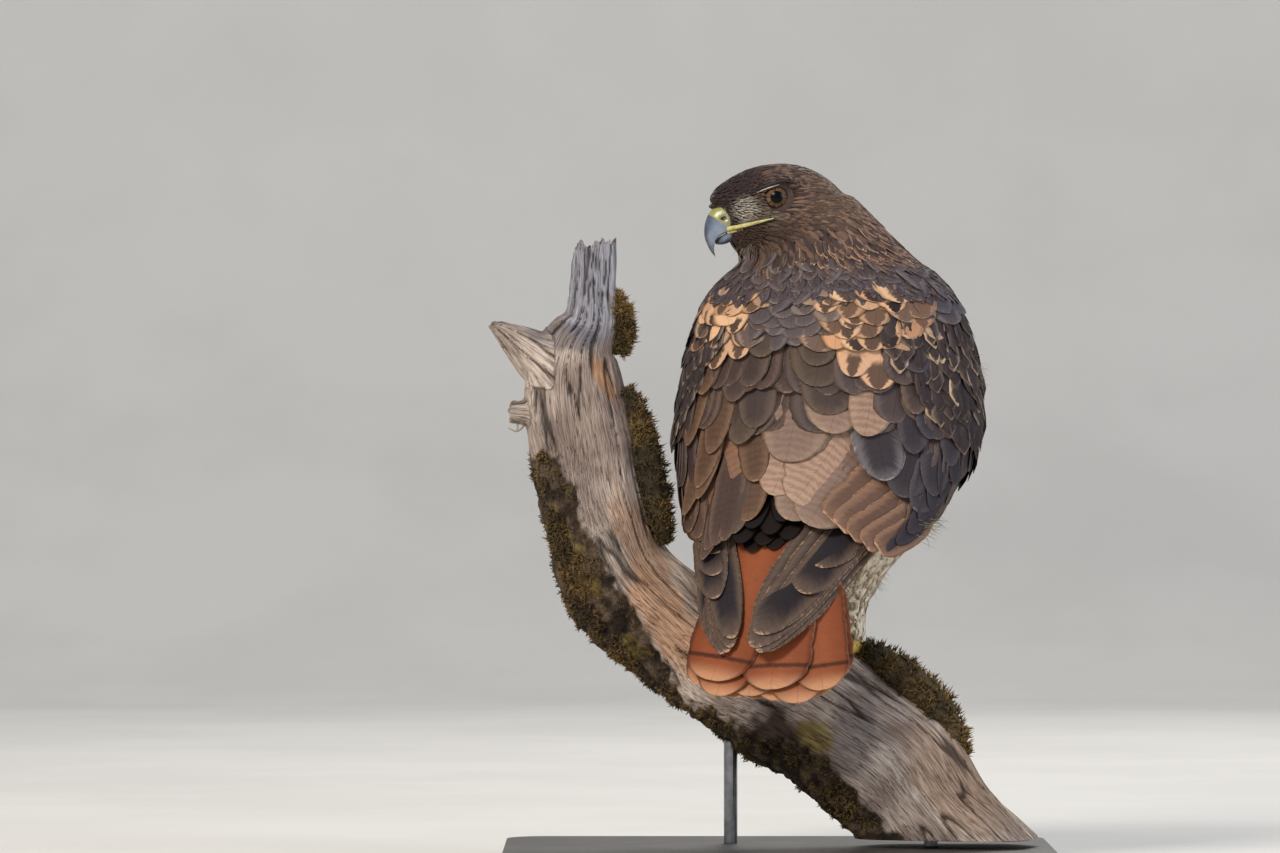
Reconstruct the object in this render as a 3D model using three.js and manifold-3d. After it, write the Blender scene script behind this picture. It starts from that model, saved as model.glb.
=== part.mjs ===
// A red-tailed hawk at life size, perched on a short cut length of a weathered limb.
// The limb is carried by a plain display stand: a flat base and two short rods.
// Millimetres, +Z up. The origin is the middle of the base's underside.
// The bird turns its back to the -Y side and looks over its left shoulder, to -X.

import * as THREE from 'three';
import { mergeVertices } from 'three/addons/utils/BufferGeometryUtils.js';
import Module from 'manifold-3d';

const wasm = await Module();
wasm.setup();

// Clearances between touching parts: the usual one, and one over faceted round forms
const GAP = 0.3;
const FACE_GAP = 0.4;

// Stand
const BASE_LENGTH = 400;
const BASE_DEPTH = 240;
const BASE_THICKNESS = 14;
const BASE_CORNER = 30;
const ROD_RADIUS = 5;
const ROD_SOCKET_DEPTH = 16;
const CUT_HEIGHT = 20;

// Limb: rows of x, y, z and radius in the plane of the picture, along its middle line
const LIMB = [
  [158, -18, -12, 48],
  [122, -12, 22, 48],
  [78, -4, 73, 50],
  [43, 6, 99, 52],
  [7, 19, 120, 50],
  [-28, 29, 136, 47],
  [-63, 36, 158, 43],
  [-99, 40, 189, 42],
  [-122, 42, 223, 41],
  [-134, 42, 269, 39],
  [-144, 42, 319, 39],
  [-149, 42, 356, 36],
  [-147, 42, 380, 29],
  [-138, 41, 399, 21],
  [-136, 40, 423, 17],
  [-135, 40, 446, 16],
  [-134, 40, 456, 15],
];
const LIMB_FLATNESS = 0.86;
const LIMB_SIDES = 14;
const LIMB_STEP = 21;
const LIMB_GNARL = 0.1;
const SNAG_JAG = 7;
const LIMB_PARTS = [
  ['perch_lower', 0, 0.24],
  ['perch_bend', 0.24, 0.47],
  ['perch_trunk_low', 0.47, 0.66],
  ['perch_trunk_high', 0.66, 0.825],
  ['perch_snag', 0.825, 1],
];
const SPUR = [
  [-150, 42, 352, 24],
  [-168, 41, 366, 22],
  [-184, 40, 378, 16.5],
  [-196, 39, 387, 10.5],
  [-206, 38.5, 394, 5],
  [-211.5, 38, 396.5, 1.5],
];
const STUB = [
  [-150, 40, 326, 12],
  [-167, 36, 328, 10.5],
  [-184, 33, 331, 9.5],
  [-197, 31, 332, 8.5],
];
const MOSS = [
  ['perch_moss_trunk', [[-113, 34, 350, 4], [-105, 34, 331, 12], [-100, 33, 308, 16], [-94, 32, 282, 15],
    [-88, 31, 256, 13], [-82, 30, 234, 5]]],
  ['perch_moss_snag', [[-121, 38, 420, 3], [-116, 38, 406, 8], [-114, 38, 390, 9], [-116, 38, 374, 4]]],
  ['perch_moss_lower', [[62, 2, 160, 5], [73, -3, 152, 12], [90, -7, 138, 17], [108, -11, 120, 18],
    [124, -14, 101, 14], [138, -16, 80, 5]]],
  ['perch_moss_bark', [[-164, 30, 262, 3], [-160, 28, 246, 9], [-151, 26, 226, 12], [-139, 22, 206, 11],
    [-124, 18, 190, 4]]],
];
const MOSS_LUMPS = 0.22;

// Bird: its own frame has r to its right, f forward and z up
const BIRD_X = 25;
const BODY_YAW = THREE.MathUtils.degToRad(21);

// Closed bird with folded wings: height, middle f, half width, depth behind and in front
const ENVELOPE = [
  [222, -40, 82, 40, 40],
  [236, -22, 93, 50, 60],
  [265, 6, 105, 66, 72],
  [294, 26, 114, 76, 80],
  [323, 36, 116.5, 80, 80],
  [351, 41, 114, 80, 78],
  [380, 42, 109, 76, 74],
  [405, 41, 100, 67, 68],
  [423, 41, 89, 58, 60],
  [436, 41, 75, 50, 52],
];

// Torso inside the wings: the same columns
const TORSO = [
  [200, 2, 26, 20, 22],
  [211, 0, 48, 38, 38],
  [231, 2, 68, 50, 52],
  [260, 13, 85, 61, 66],
  [291, 27, 94, 68, 77],
  [323, 36, 97, 69, 82],
  [360, 41, 95, 67, 80],
  [392, 42, 88, 58, 71],
  [425, 41, 75, 48, 57],
];
const NECK_PLANE = 425;
const TORSO_SIDES = 24;
const TORSO_HEIGHTS = [200, 211, 231, 250, 272, 298, 325, 352, 380, 404, 425];

// Neck: height, middle r, middle f, half width, depth behind and in front
const NECK = [
  [424, 0, 41, 84, 55, 57],
  [431, 0, 40, 78, 51, 55],
  [438, -1, 40, 71, 47, 52],
  [446, -4, 42, 64, 44, 50],
  [457, -10, 42, 58, 40, 46],
  [468, -13, 42, 51, 37, 42],
  [480, -15, 42, 42, 33, 36],
  [491, -15, 42, 30, 25, 27],
];

// Head: x along the bill, top and bottom heights, half width
const HEAD = [
  [-50, 488, 480, 4],
  [-46, 495.4, 481, 8.5],
  [-39, 501, 480.5, 12.5],
  [-35.5, 503.4, 461, 15.5],
  [-30, 506.5, 451, 18.5],
  [-21.6, 510.5, 445, 22.5],
  [-10.8, 513.4, 441, 26],
  [1.4, 514.8, 439, 28.5],
  [14.4, 513.7, 438.5, 30.5],
  [26.6, 509.8, 439, 31],
  [37.4, 503.6, 441, 29],
  [47.5, 494.3, 446, 24],
  [56.2, 482, 453, 15],
];
const HEAD_Y = 45;
const HEAD_SIDES = 20;
const HEAD_WIDEST = 0.55;
const HEAD_PIVOT_X = 22;
const HEAD_TURN = THREE.MathUtils.degToRad(3);
const HEAD_CUT = [[-34, 444], [60, 477]];

// Bill: middle line x and z, half height, half width
const BILL_UPPER = [
  [-26, 474, 8, 10.5],
  [-37, 472.5, 9.8, 11],
  [-43.5, 468.5, 9, 9.4],
  [-47.8, 462.2, 6.4, 6.6],
  [-49.3, 455.4, 4, 4.2],
  [-48, 450, 2.2, 2.3],
  [-45.2, 446, 0.5, 0.5],
];
const BILL_LOWER = [
  [-20, 465.5, 3.2, 9],
  [-31, 462, 3, 8],
  [-39, 458.8, 2.4, 6.2],
  [-43.2, 457.4, 1.3, 3.6],
];
const BILL_SIDES = 12;
const NOSTRIL = { x: -39.6, z: 475, side: 8.6, length: 2.7, height: 1.3, depth: 3, tilt: 0.35 };
const GAPE_LINE = [[-37, 466.2, 12.6], [-26, 468.8, 18.6], [-14, 471.6, 24.2], [-4, 474, 27.6]];
const GAPE_RADIUS = 1.5;

// Eye and its surrounds; side is the distance from the head's middle plane
const EYE = { x: -1.4, z: 489.6, side: 19.2, radius: 10.8 };
const LID_RADIUS = 9;
const LID_THICKNESS = 1.5;
const SOCKET_RADIUS = 9;
const SOCKET_FLOOR = 22;
const BROW = [[-22, 491, 18, 2.4], [-11, 496.5, 23.5, 3.8], [1, 500, 25.4, 4], [13, 499.5, 25.6, 2.4]];

// Vanes
const VANE_THICKNESS = 0.9;
const TAIL_VANE = [[0, 0.3], [0.3, 0.68], [0.7, 0.95], [0.93, 0.95], [1, 0.55]];
const LONG_VANE = [[0, 0.5], [0.35, 0.95], [0.75, 0.95], [0.94, 0.62], [1, 0.22]];
const SHORT_VANE = [[0, 0.6], [0.5, 1], [0.86, 0.82], [1, 0.3]];

// Feather tiers of the right wing, in degrees round from the spine and heights:
// count, first and last root, first and last tip, widths, lifts of root and tip off the envelope
const WING_TIERS = [
  { count: 4, root: [[60, 296], [98, 300]], tip: [[42, 240], [92, 262]], width: [34, 24], lift: [-9, -3] },
  { count: 4, root: [[24, 348], [52, 306]], tip: [[1, 294], [30, 246]], width: [44, 36], lift: [-8, 0] },
  { count: 4, root: [[58, 352], [101, 346]], tip: [[46, 284], [97, 298]], width: [34, 26], lift: [-8, 0] },
  { count: 5, root: [[58, 392], [103, 384]], tip: [[54, 334], [103, 336]], width: [30, 24], lift: [-8, 1] },
  { count: 3, root: [[9, 384], [44, 376]], tip: [[6, 330], [40, 326]], width: [46, 40], lift: [-8, 1.5] },
  { count: 4, root: [[5, 404], [58, 400]], tip: [[4, 357], [58, 358]], width: [38, 36], lift: [-8, 2] },
  { count: 4, root: [[4, 426], [88, 420]], tip: [[4, 386], [92, 382]], width: [36, 38], lift: [-5, 2] },
];
const TIER_JITTER = 3;
const TIER_LAYER = 1.3;
const TIER_CURL = 90;
const WING_COLUMNS = [-1, 0, 1, 2, 3, 4, 5, 6, 7];
const WING_BOTTOM = 250;
const WING_HEM = 0.3;
const WING_SKIN = 4;
const WING_FRONT_SINK = 9;
const TORSO_ROOM_GAP = 0.25;
const WING_MIDLINE = -4;
const WING_SPLIT_HEIGHT = 249;

// Primaries: first and last root, then tips in the bird's own frame
const PRIMARY_COUNT = 7;
const PRIMARY_PITCH = 1.4;
const PRIMARY_ROOT_DEPTH = 6;
const PRIMARY_CURL = 500;
const PRIMARY_FACING = 0.2;
const PRIMARY_RIGHT = {
  root: [[52, 284], [84, 286]],
  tips: [
    [24, -88, 211], [12, -101, 190], [2, -110, 173], [-7, -117, 160],
    [-7, -119, 157], [4, -113, 162], [22, -102, 176],
  ],
  lift: 20,
};
const PRIMARY_LEFT = {
  root: [[56, 280], [86, 284]],
  tips: [
    [-44, -82, 218], [-40, -95, 198], [-34, -105, 182], [-28, -113, 168],
    [-25, -117, 160], [-30, -114, 162], [-38, -106, 172],
  ],
  lift: 11,
};
const PRIMARY_WIDTH = [36, 24];
const PRIMARY_BOW = 10;

// Tail
const TAIL_ROOT = [0, -27, 297];
const TAIL_TIP = [7, -125, 119];
const TAIL_PAIRS = 6;
const TAIL_SPREAD = THREE.MathUtils.degToRad(2.3);
const TAIL_WIDTH = 38;
const TAIL_PITCH = 1.25;
const TAIL_ROUNDING = 4;
// Stem: distance along the tail, half width, half height
const TAIL_STEM = [[-14, 16, 7], [10, 20, 7], [40, 20, 6], [66, 16, 4]];
const TAIL_CURL = 420;
const TAIL_TOP = 1.6;
const TAIL_ROOM_GAP = 0.8;
// Room of the fan: share of the length, half width, depth of the stack at the edges
const TAIL_ROOM = [[0, 18, 9], [0.2, 30, 9], [0.5, 46, 9], [0.8, 60, 9], [0.95, 64, 9], [1, 56, 9]];
const COVERT_COUNT = 3;
const COVERT_WIDTH = 32;

// Legs and feet
const LEG_SPACING = 27;
const LEG_FORWARD = 12;
const SHANK_TOP = 196;
// Thigh: height, middle f, half width and depth
const THIGH = [
  [262, -2, 34, 40],
  [240, 2, 33, 37],
  [216, 7, 25, 28],
  [196, 10, 16, 18],
  [183, 12, 11.5, 12.5],
];
const THIGH_SIDES = 16;
const SHANK_RADIUS = 5.2;
const TOE_RADIUS = 4.8;
const TOE_SIDES = 6;
const CLAW_LENGTH = 22;
const CLAW_RADIUS = 2.9;
const TOES = [
  { name: 'inner', from: 5, to: 46, spread: -17 },
  { name: 'middle', from: 5, to: 56, spread: 0 },
  { name: 'outer', from: 5, to: 46, spread: 17 },
  { name: 'hind', from: -5, to: -38, spread: -3 },
];

const COLOURS = {
  stand: 0x3a3c3f,
  steel: 0xa4a7aa,
  wood: 0x8d8178,
  moss: 0x6b6230,
  back: 0x54483f,
  breast: 0xcdbba4,
  head: 0x5a4a40,
  bill: 0x59636f,
  eye: 0x7a4c2a,
  tail: 0xb8643a,
  leg: 0xd6c6ae,
  foot: 0xd9b84c,
  claw: 0x1d1c1e,
};

// Seeded random numbers from 0 to 1
let seed = 11;
function random() {
  seed = (seed * 16807) % 2147483647;
  return seed / 2147483647;
}

// Smooth interpolation of rows sorted by their first column
function sample(rows, at) {
  const last = rows.length - 1;
  let i = 0;
  while (i < last - 1 && at > rows[i + 1][0]) i += 1;
  const [a, b] = [rows[i], rows[i + 1]];
  const before = rows[Math.max(i - 1, 0)];
  const after = rows[Math.min(i + 2, last)];
  const span = b[0] - a[0];
  const t = THREE.MathUtils.clamp((at - a[0]) / span, 0, 1);
  return a.slice(1).map((value, k) => {
    const next = b[k + 1];
    const slopeIn = ((next - before[k + 1]) / (b[0] - before[0])) * span;
    const slopeOut = ((after[k + 1] - value) / (after[0] - a[0])) * span;
    const bend = t * (1 - t);
    return value + (next - value) * t * t * (3 - 2 * t) + bend * ((1 - t) * slopeIn - t * slopeOut);
  });
}

function mix(a, b, t) {
  return a + (b - a) * t;
}

function mixPair(pair, t) {
  return pair[0].map((value, k) => mix(value, pair[1][k], t));
}

function bird(r, f, z) {
  const [s, c] = [Math.sin(BODY_YAW), Math.cos(BODY_YAW)];
  return new THREE.Vector3(BIRD_X + r * c + f * s, f * c - r * s, z);
}

// A closed solid from points and triangles, turned so that its faces point out
function solidFrom(points, faces) {
  let volume = 0;
  const cross = new THREE.Vector3();
  for (let i = 0; i < faces.length; i += 3) {
    const [a, b, c] = [points[faces[i]], points[faces[i + 1]], points[faces[i + 2]]];
    volume += a.dot(cross.crossVectors(b, c));
  }
  const turned = faces.slice();
  if (volume < 0) turned.reverse();
  const vertProperties = new Float32Array(points.flatMap((p) => [p.x, p.y, p.z]));
  const triVerts = new Uint32Array(turned);
  return new wasm.Manifold(new wasm.Mesh({ numProp: 3, vertProperties, triVerts }));
}

// A solid through rings of points, with a fan at each end
function loft(rings, flips = () => false) {
  const sides = rings[0].length;
  const points = rings.flat();
  const faces = [];
  for (let i = 0; i < rings.length - 1; i += 1) {
    for (let j = 0; j < sides; j += 1) {
      const a = i * sides + j;
      const b = i * sides + ((j + 1) % sides);
      const [c, d] = [b + sides, a + sides];
      if (flips(j)) faces.push(a, b, d, b, c, d);
      else faces.push(a, b, c, a, c, d);
    }
  }
  const ends = [rings[0], rings[rings.length - 1]];
  ends.forEach((ring, end) => {
    const middle = new THREE.Vector3();
    ring.forEach((p) => middle.addScaledVector(p, 1 / sides));
    const hub = points.length;
    points.push(middle);
    const start = end * (rings.length - 1) * sides;
    for (let j = 0; j < sides; j += 1) {
      const [a, b] = [start + j, start + ((j + 1) % sides)];
      if (end) faces.push(hub, a, b);
      else faces.push(hub, b, a);
    }
  });
  return solidFrom(points, faces);
}

function fromGeometry(geometry) {
  const bare = geometry.clone();
  bare.deleteAttribute('normal');
  bare.deleteAttribute('uv');
  const merged = mergeVertices(bare, 1e-4);
  const place = merged.attributes.position;
  const points = [];
  for (let i = 0; i < place.count; i += 1) points.push(new THREE.Vector3().fromBufferAttribute(place, i));
  return solidFrom(points, Array.from(merged.index.array));
}

function ballSolid(centre, radii, tilt = 0) {
  const geometry = new THREE.SphereGeometry(1, 8, 6);
  geometry.scale(...radii);
  geometry.rotateY(tilt);
  geometry.translate(centre.x, centre.y, centre.z);
  return fromGeometry(geometry);
}

function unite(solids) {
  return solids.reduce((joined, next) => joined.add(next));
}

// A solid cut clear of others
function clearOf(solid, cutters) {
  return cutters.reduce((rest, cutter) => rest.subtract(cutter), solid);
}

// The largest closed surface of a solid, with hollows filled and scraps dropped
function largest(solid) {
  return solid.decompose().reduce((best, next) => (next.volume() > best.volume() ? next : best));
}

// Everything on one side of a plane: side 1 keeps what the normal points to
function halfSpace(point, normal, side) {
  const reach = 800;
  const geometry = new THREE.BoxGeometry(reach, reach, reach);
  geometry.translate(0, 0, side * (reach / 2 + GAP / 2));
  const turn = new THREE.Quaternion().setFromUnitVectors(new THREE.Vector3(0, 0, 1), normal);
  geometry.applyQuaternion(turn);
  geometry.translate(point.x, point.y, point.z);
  return fromGeometry(geometry);
}

const upward = new THREE.Vector3(0, 0, 1);
const group = new THREE.Group();

function addPart(name, solid, colour, roughness = 0.8, metalness = 0) {
  const mesh = largest(solid).getMesh();
  const geometry = new THREE.BufferGeometry();
  geometry.setAttribute('position', new THREE.BufferAttribute(new Float32Array(mesh.vertProperties), 3));
  geometry.setIndex(new THREE.BufferAttribute(new Uint32Array(mesh.triVerts), 1));
  geometry.computeVertexNormals();
  const material = new THREE.MeshStandardMaterial({ color: colour, roughness, metalness });
  const part = new THREE.Mesh(geometry, material);
  part.name = name;
  group.add(part);
}

// A ring of points round a middle, across two directions
function ringOf(middle, across, up, width, height, sides, swell = () => 1) {
  return Array.from({ length: sides }, (_, j) => {
    const angle = (j / sides) * Math.PI * 2;
    const k = swell(angle);
    return middle
      .clone()
      .addScaledVector(across, Math.cos(angle) * width * k)
      .addScaledVector(up, Math.sin(angle) * height * k);
  });
}

// A tapering round limb through rows of x, y, z, radius
function taperedLimb(rows, sides, grow = 0, swellAt = () => () => 1, flatness = 1) {
  const middles = rows.map((row) => new THREE.Vector3(row[0], row[1], row[2]));
  const rings = middles.map((middle, i) => {
    const next = middles[Math.min(i + 1, rows.length - 1)];
    const along = next.clone().sub(middles[Math.max(i - 1, 0)]).normalize();
    const depth = new THREE.Vector3(0, 1, 0).addScaledVector(along, -along.y).normalize();
    const up = new THREE.Vector3().crossVectors(along, depth);
    const radius = rows[i][3];
    const end = i === 0 ? -grow : grow * Number(i === rows.length - 1);
    const place = middle.clone().addScaledVector(along, end);
    return ringOf(place, depth, up, radius * flatness + grow, radius + grow, sides, swellAt(i));
  });
  return loft(rings);
}

// Limb
const limbMiddles = LIMB.map(([x, y, z]) => new THREE.Vector3(x, y, z));
const limbCurve = new THREE.CatmullRomCurve3(limbMiddles, false, 'centripetal');
const limbWidths = LIMB.map((row) => new THREE.Vector3(row[3], 0, 0));
const limbRadii = new THREE.CatmullRomCurve3(limbWidths, false, 'centripetal');

function limbFrame(t) {
  const middle = limbCurve.getPoint(t);
  const along = limbCurve.getTangent(t);
  const depth = new THREE.Vector3(0, 1, 0).addScaledVector(along, -along.y).normalize();
  const up = new THREE.Vector3().crossVectors(depth, along);
  const radius = limbRadii.getPoint(t).x;
  return { middle, along, depth, up, radius };
}

// Knots and folds of the bark, as a share of the radius
function gnarl(t, angle) {
  const folds = Math.sin(3 * angle + 9 * t) + 0.7 * Math.sin(5 * angle - 17 * t + 1.3);
  const lumps = Math.sin(31 * t + 2 * angle) + 0.6 * Math.sin(53 * t - angle + 0.7);
  return 1 + LIMB_GNARL * (0.5 * folds + 0.35 * lumps);
}

function limbRing(t, grow = 0) {
  const { middle, along, depth, up, radius } = limbFrame(t);
  const [wide, high] = [radius * LIMB_FLATNESS + grow, radius + grow];
  const ring = ringOf(middle, depth, up, wide, high, LIMB_SIDES, (angle) => gnarl(t, angle));
  if (t < 1) return ring;
  return ring.map((p, j) => p.addScaledVector(along, SNAG_JAG * Math.sin(j * 2.3 + 0.6)));
}

function limbLength(from, to, grow = 0) {
  const length = limbCurve.getLength() * (to - from);
  const steps = Math.max(2, Math.round(length / LIMB_STEP));
  const inset = grow ? 0 : GAP / 2 / limbCurve.getLength();
  const start = from > 0 ? from + inset : from;
  const end = to < 1 ? to - inset : to;
  const rings = Array.from({ length: steps + 1 }, (_, i) => limbRing(mix(start, end, i / steps), grow));
  return loft(rings);
}

// A feather's vane: a curved blade of four-sided rings from root to tip through its middle,
// its edges sagging as on a barrel of radius curl. Stations are shares of length and width.
function vane({ root, middle, tip, rootNormal, tipNormal, width, curl, stations, grow = 0 }) {
  const control = middle.clone().multiplyScalar(2).sub(root.clone().add(tip).multiplyScalar(0.5));
  const curve = new THREE.QuadraticBezierCurve3(root, control, tip);
  const rings = stations.map(([t, share], i) => {
    const along = curve.getTangent(t);
    const end = i === 0 ? -grow : grow * Number(i === stations.length - 1);
    const point = curve.getPoint(t).addScaledVector(along, end);
    const normal = rootNormal.clone().lerp(tipNormal, t);
    normal.addScaledVector(along, -normal.dot(along)).normalize();
    const across = new THREE.Vector3().crossVectors(along, normal);
    const half = (width * share) / 2 + grow;
    const sag = (half * half) / (2 * curl);
    const place = (side, face) => point
      .clone()
      .addScaledVector(across, side * half)
      .addScaledVector(normal, face * (VANE_THICKNESS / 2 + grow) - Math.abs(side) * sag);
    return [place(-1, 0), place(0, 1), place(1, 0), place(0, -1)];
  });
  return loft(rings, (j) => j > 1);
}

// Torso and envelope
function bodyPoint(rows, z, angle, grow = 0) {
  const [f, half, behind, front] = sample(rows, z);
  const depth = Math.cos(angle) > 0 ? behind : front;
  return bird((half + grow) * Math.sin(angle), f - (depth + grow) * Math.cos(angle), z);
}

function bodyNormal(rows, z, angle) {
  const step = 2;
  const turn = 0.03;
  const down = bodyPoint(rows, z - step, angle).sub(bodyPoint(rows, z + step, angle));
  const round = bodyPoint(rows, z, angle + turn).sub(bodyPoint(rows, z, angle - turn));
  return new THREE.Vector3().crossVectors(down, round).normalize();
}

function bodyRing(rows, z, grow = 0) {
  const turn = (Math.PI * 2) / TORSO_SIDES;
  return Array.from({ length: TORSO_SIDES }, (_, j) => bodyPoint(rows, z, j * turn, grow));
}

function torsoSolid(grow = 0) {
  return loft(TORSO_HEIGHTS.map((z, i) => bodyRing(TORSO, i === 0 ? z - grow : z, grow)));
}

// Wings: side is 1 for the right and -1 for the left.
// A wing's core is a shell over the torso, on the torso's own columns and heights.
function wingCore(side) {
  const columns = WING_COLUMNS.map((column) => (side * column * Math.PI * 2) / TORSO_SIDES);
  const outer = [];
  const inner = [];
  TORSO_HEIGHTS.filter((z) => z >= WING_BOTTOM).forEach((z, i) => {
    columns.forEach((angle, j) => {
      const sink = j === columns.length - 1 ? WING_FRONT_SINK : WING_SKIN;
      const { point } = onWing(side, THREE.MathUtils.radToDeg(side * angle), z, -sink);
      const lift = i === 0 ? WING_HEM * (columns.length - 1 - j) ** 2 : 0;
      point.z += lift;
      outer.push(point);
      const under = bodyPoint(TORSO, z, angle, FACE_GAP);
      under.z += lift / 2;
      inner.push(under);
    });
  });
  const width = columns.length;
  const count = outer.length;
  const faces = [];
  for (let a = 0; a < count - width; a += 1) {
    if (a % width < width - 1) {
      const [b, c, d] = [a + 1, a + width + 1, a + width];
      faces.push(a, b, c, a, c, d);
      faces.push(a + count, c + count, b + count, a + count, d + count, c + count);
    }
  }
  const rim = [];
  for (let j = 0; j < width - 1; j += 1) rim.push(j);
  for (let a = width - 1; a < count - 1; a += width) rim.push(a);
  for (let a = count - 1; a > count - width; a -= 1) rim.push(a);
  for (let a = count - width; a > 0; a -= width) rim.push(a);
  rim.forEach((a, k) => {
    const b = rim[(k + 1) % rim.length];
    faces.push(a, b + count, b, a, a + count, b + count);
  });
  return solidFrom([...outer, ...inner], faces);
}

function onWing(side, degrees, z, lift) {
  const angle = side * THREE.MathUtils.degToRad(degrees);
  const point = bodyPoint(ENVELOPE, z, angle);
  const normal = bodyNormal(ENVELOPE, z, angle);
  if (normal.dot(point.clone().sub(bird(0, sample(ENVELOPE, z)[0], z))) < 0) normal.negate();
  return { point: point.addScaledVector(normal, lift), normal };
}

function tierVanes(side) {
  return WING_TIERS.flatMap((tier) => Array.from({ length: tier.count }, (_, k) => {
    const t = k / (tier.count - 1);
    const [rootTurn, rootZ] = mixPair(tier.root, t);
    const [tipTurn, tipZ] = mixPair(tier.tip, t);
    const shift = (random() - 0.5) * TIER_JITTER;
    const layer = (k % 2) * TIER_LAYER;
    const [halfTurn, halfZ] = [(rootTurn + tipTurn) / 2, (rootZ + tipZ) / 2 + shift];
    const start = onWing(side, rootTurn, rootZ, tier.lift[0]);
    const half = onWing(side, halfTurn, halfZ, mix(...tier.lift, 0.75) + layer);
    const end = onWing(side, tipTurn, tipZ + shift, tier.lift[1] + layer);
    return vane({
      root: start.point,
      middle: half.point,
      tip: end.point,
      rootNormal: start.normal,
      tipNormal: end.normal,
      width: mix(...tier.width, t),
      curl: TIER_CURL,
      stations: SHORT_VANE,
    });
  }));
}

// The tail's own directions: along it, across it to the bird's right, and out of its upper face
const tailRoot = bird(...TAIL_ROOT);
const tailAlong = bird(...TAIL_TIP).sub(tailRoot).normalize();
const tailLength = bird(...TAIL_TIP).distanceTo(tailRoot);
const tailAcross = bird(1, 0, 0).sub(bird(0, 0, 0));
tailAcross.addScaledVector(tailAlong, -tailAcross.dot(tailAlong)).normalize();
const tailUp = new THREE.Vector3().crossVectors(tailAlong, tailAcross);
if (tailUp.z < 0) tailUp.negate();

function tailPoint(along, across, lift) {
  return tailRoot
    .clone()
    .addScaledVector(tailAlong, along)
    .addScaledVector(tailAcross, across)
    .addScaledVector(tailUp, lift);
}

// Folded flight feathers. All lie along one bowed surface that comes down from the wrist
// to the height of the tips above the tail, each a little under the one before.
function primaryVanes(side, spec) {
  const wrist = onWing(side, ...mixPair(spec.root, PRIMARY_FACING), -PRIMARY_ROOT_DEPTH);
  const place = (point) => {
    const out = point.clone().sub(tailRoot);
    return { along: out.dot(tailAlong), height: out.dot(tailUp) };
  };
  const start = place(wrist.point);
  const reach = Math.max(...spec.tips.map((tip) => place(bird(...tip)).along));
  const settle = (point, k) => {
    const { along, height } = place(point);
    const s = (along - start.along) / (reach - start.along);
    const bowed = mix(start.height, spec.lift, s) + 4 * PRIMARY_BOW * s * (1 - s);
    return point.clone().addScaledVector(tailUp, bowed - k * PRIMARY_PITCH - height);
  };
  return Array.from({ length: PRIMARY_COUNT }, (_, k) => {
    const t = k / (PRIMARY_COUNT - 1);
    const [turn, z] = mixPair(spec.root, t);
    const root = onWing(side, turn, z, -PRIMARY_ROOT_DEPTH - k * PRIMARY_PITCH).point;
    const tip = settle(bird(...spec.tips[k]), k);
    return vane({
      root,
      middle: settle(root.clone().add(tip).multiplyScalar(0.5), k),
      tip,
      rootNormal: wrist.normal,
      tipNormal: tailUp,
      width: mix(...PRIMARY_WIDTH, t),
      curl: PRIMARY_CURL,
      stations: LONG_VANE,
    });
  });
}

function wingSolid(side, spec) {
  const midline = bird(WING_MIDLINE + side * GAP, 0, 0);
  const right = bird(1, 0, 0).sub(bird(0, 0, 0));
  const upperHalf = halfSpace(new THREE.Vector3(0, 0, WING_SPLIT_HEIGHT), upward, 1);
  const beyond = halfSpace(midline, right, -side).intersect(upperHalf);
  const whole = unite([wingCore(side), ...tierVanes(side), ...primaryVanes(side, spec)]);
  const tailRoom = [tailStem(GAP), tailPlate(TAIL_ROOM_GAP), ...tailCoverts(GAP)];
  return clearOf(whole, [beyond, torsoSolid(TORSO_ROOM_GAP), neckSolid(FACE_GAP), ...tailRoom]);
}

function tailVanes() {
  return Array.from({ length: TAIL_PAIRS * 2 }, (_, k) => {
    const pair = Math.floor(k / 2);
    const side = k % 2 ? 1 : -1;
    const angle = side * (pair + 0.45) * TAIL_SPREAD;
    const depth = -TAIL_PITCH * (side > 0 ? pair + 0.5 : pair);
    const length = tailLength - TAIL_ROUNDING * (pair / 3) ** 2 + side * Math.sin(pair * 5);
    const root = tailPoint(0, side * (2 + pair * 1.6), depth - 2);
    const tipAcross = Math.sin(angle) * length + side * 3;
    const arch = -(tipAcross ** 2) / TAIL_CURL;
    const halfAcross = side * (2 + pair * 0.8) + Math.sin(angle) * length * 0.46;
    return vane({
      root,
      middle: tailPoint(length / 2, halfAcross, depth + 2 + arch / 2),
      tip: tailPoint(Math.cos(angle) * length, tipAcross, depth + arch),
      rootNormal: tailUp,
      tipNormal: tailUp.clone().addScaledVector(tailAcross, -arch * side * -0.03),
      width: TAIL_WIDTH,
      curl: 160,
      stations: TAIL_VANE,
    });
  });
}

function tailCoverts(grow = 0) {
  return Array.from({ length: COVERT_COUNT }, (_, k) => {
    const t = k / (COVERT_COUNT - 1) - 0.5;
    const lift = 2.6 - Math.abs(t) * 2 - (t > 0 ? 0.8 : 0);
    return vane({
      root: tailPoint(30, t * 20, 0),
      middle: tailPoint(62, t * 38, lift),
      tip: tailPoint(98 - Math.abs(t) * 20, t * 50, lift - 0.6),
      rootNormal: tailUp,
      tipNormal: tailUp,
      width: COVERT_WIDTH,
      curl: 200,
      stations: SHORT_VANE,
      grow,
    });
  });
}

function tailStem(grow = 0) {
  const rings = TAIL_STEM.map(([along, width, height], i) => {
    const end = grow * Number(i === TAIL_STEM.length - 1);
    return ringOf(tailPoint(along + end, 0, -3), tailAcross, tailUp, width + grow, height + grow, 12);
  });
  return loft(rings);
}

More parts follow.
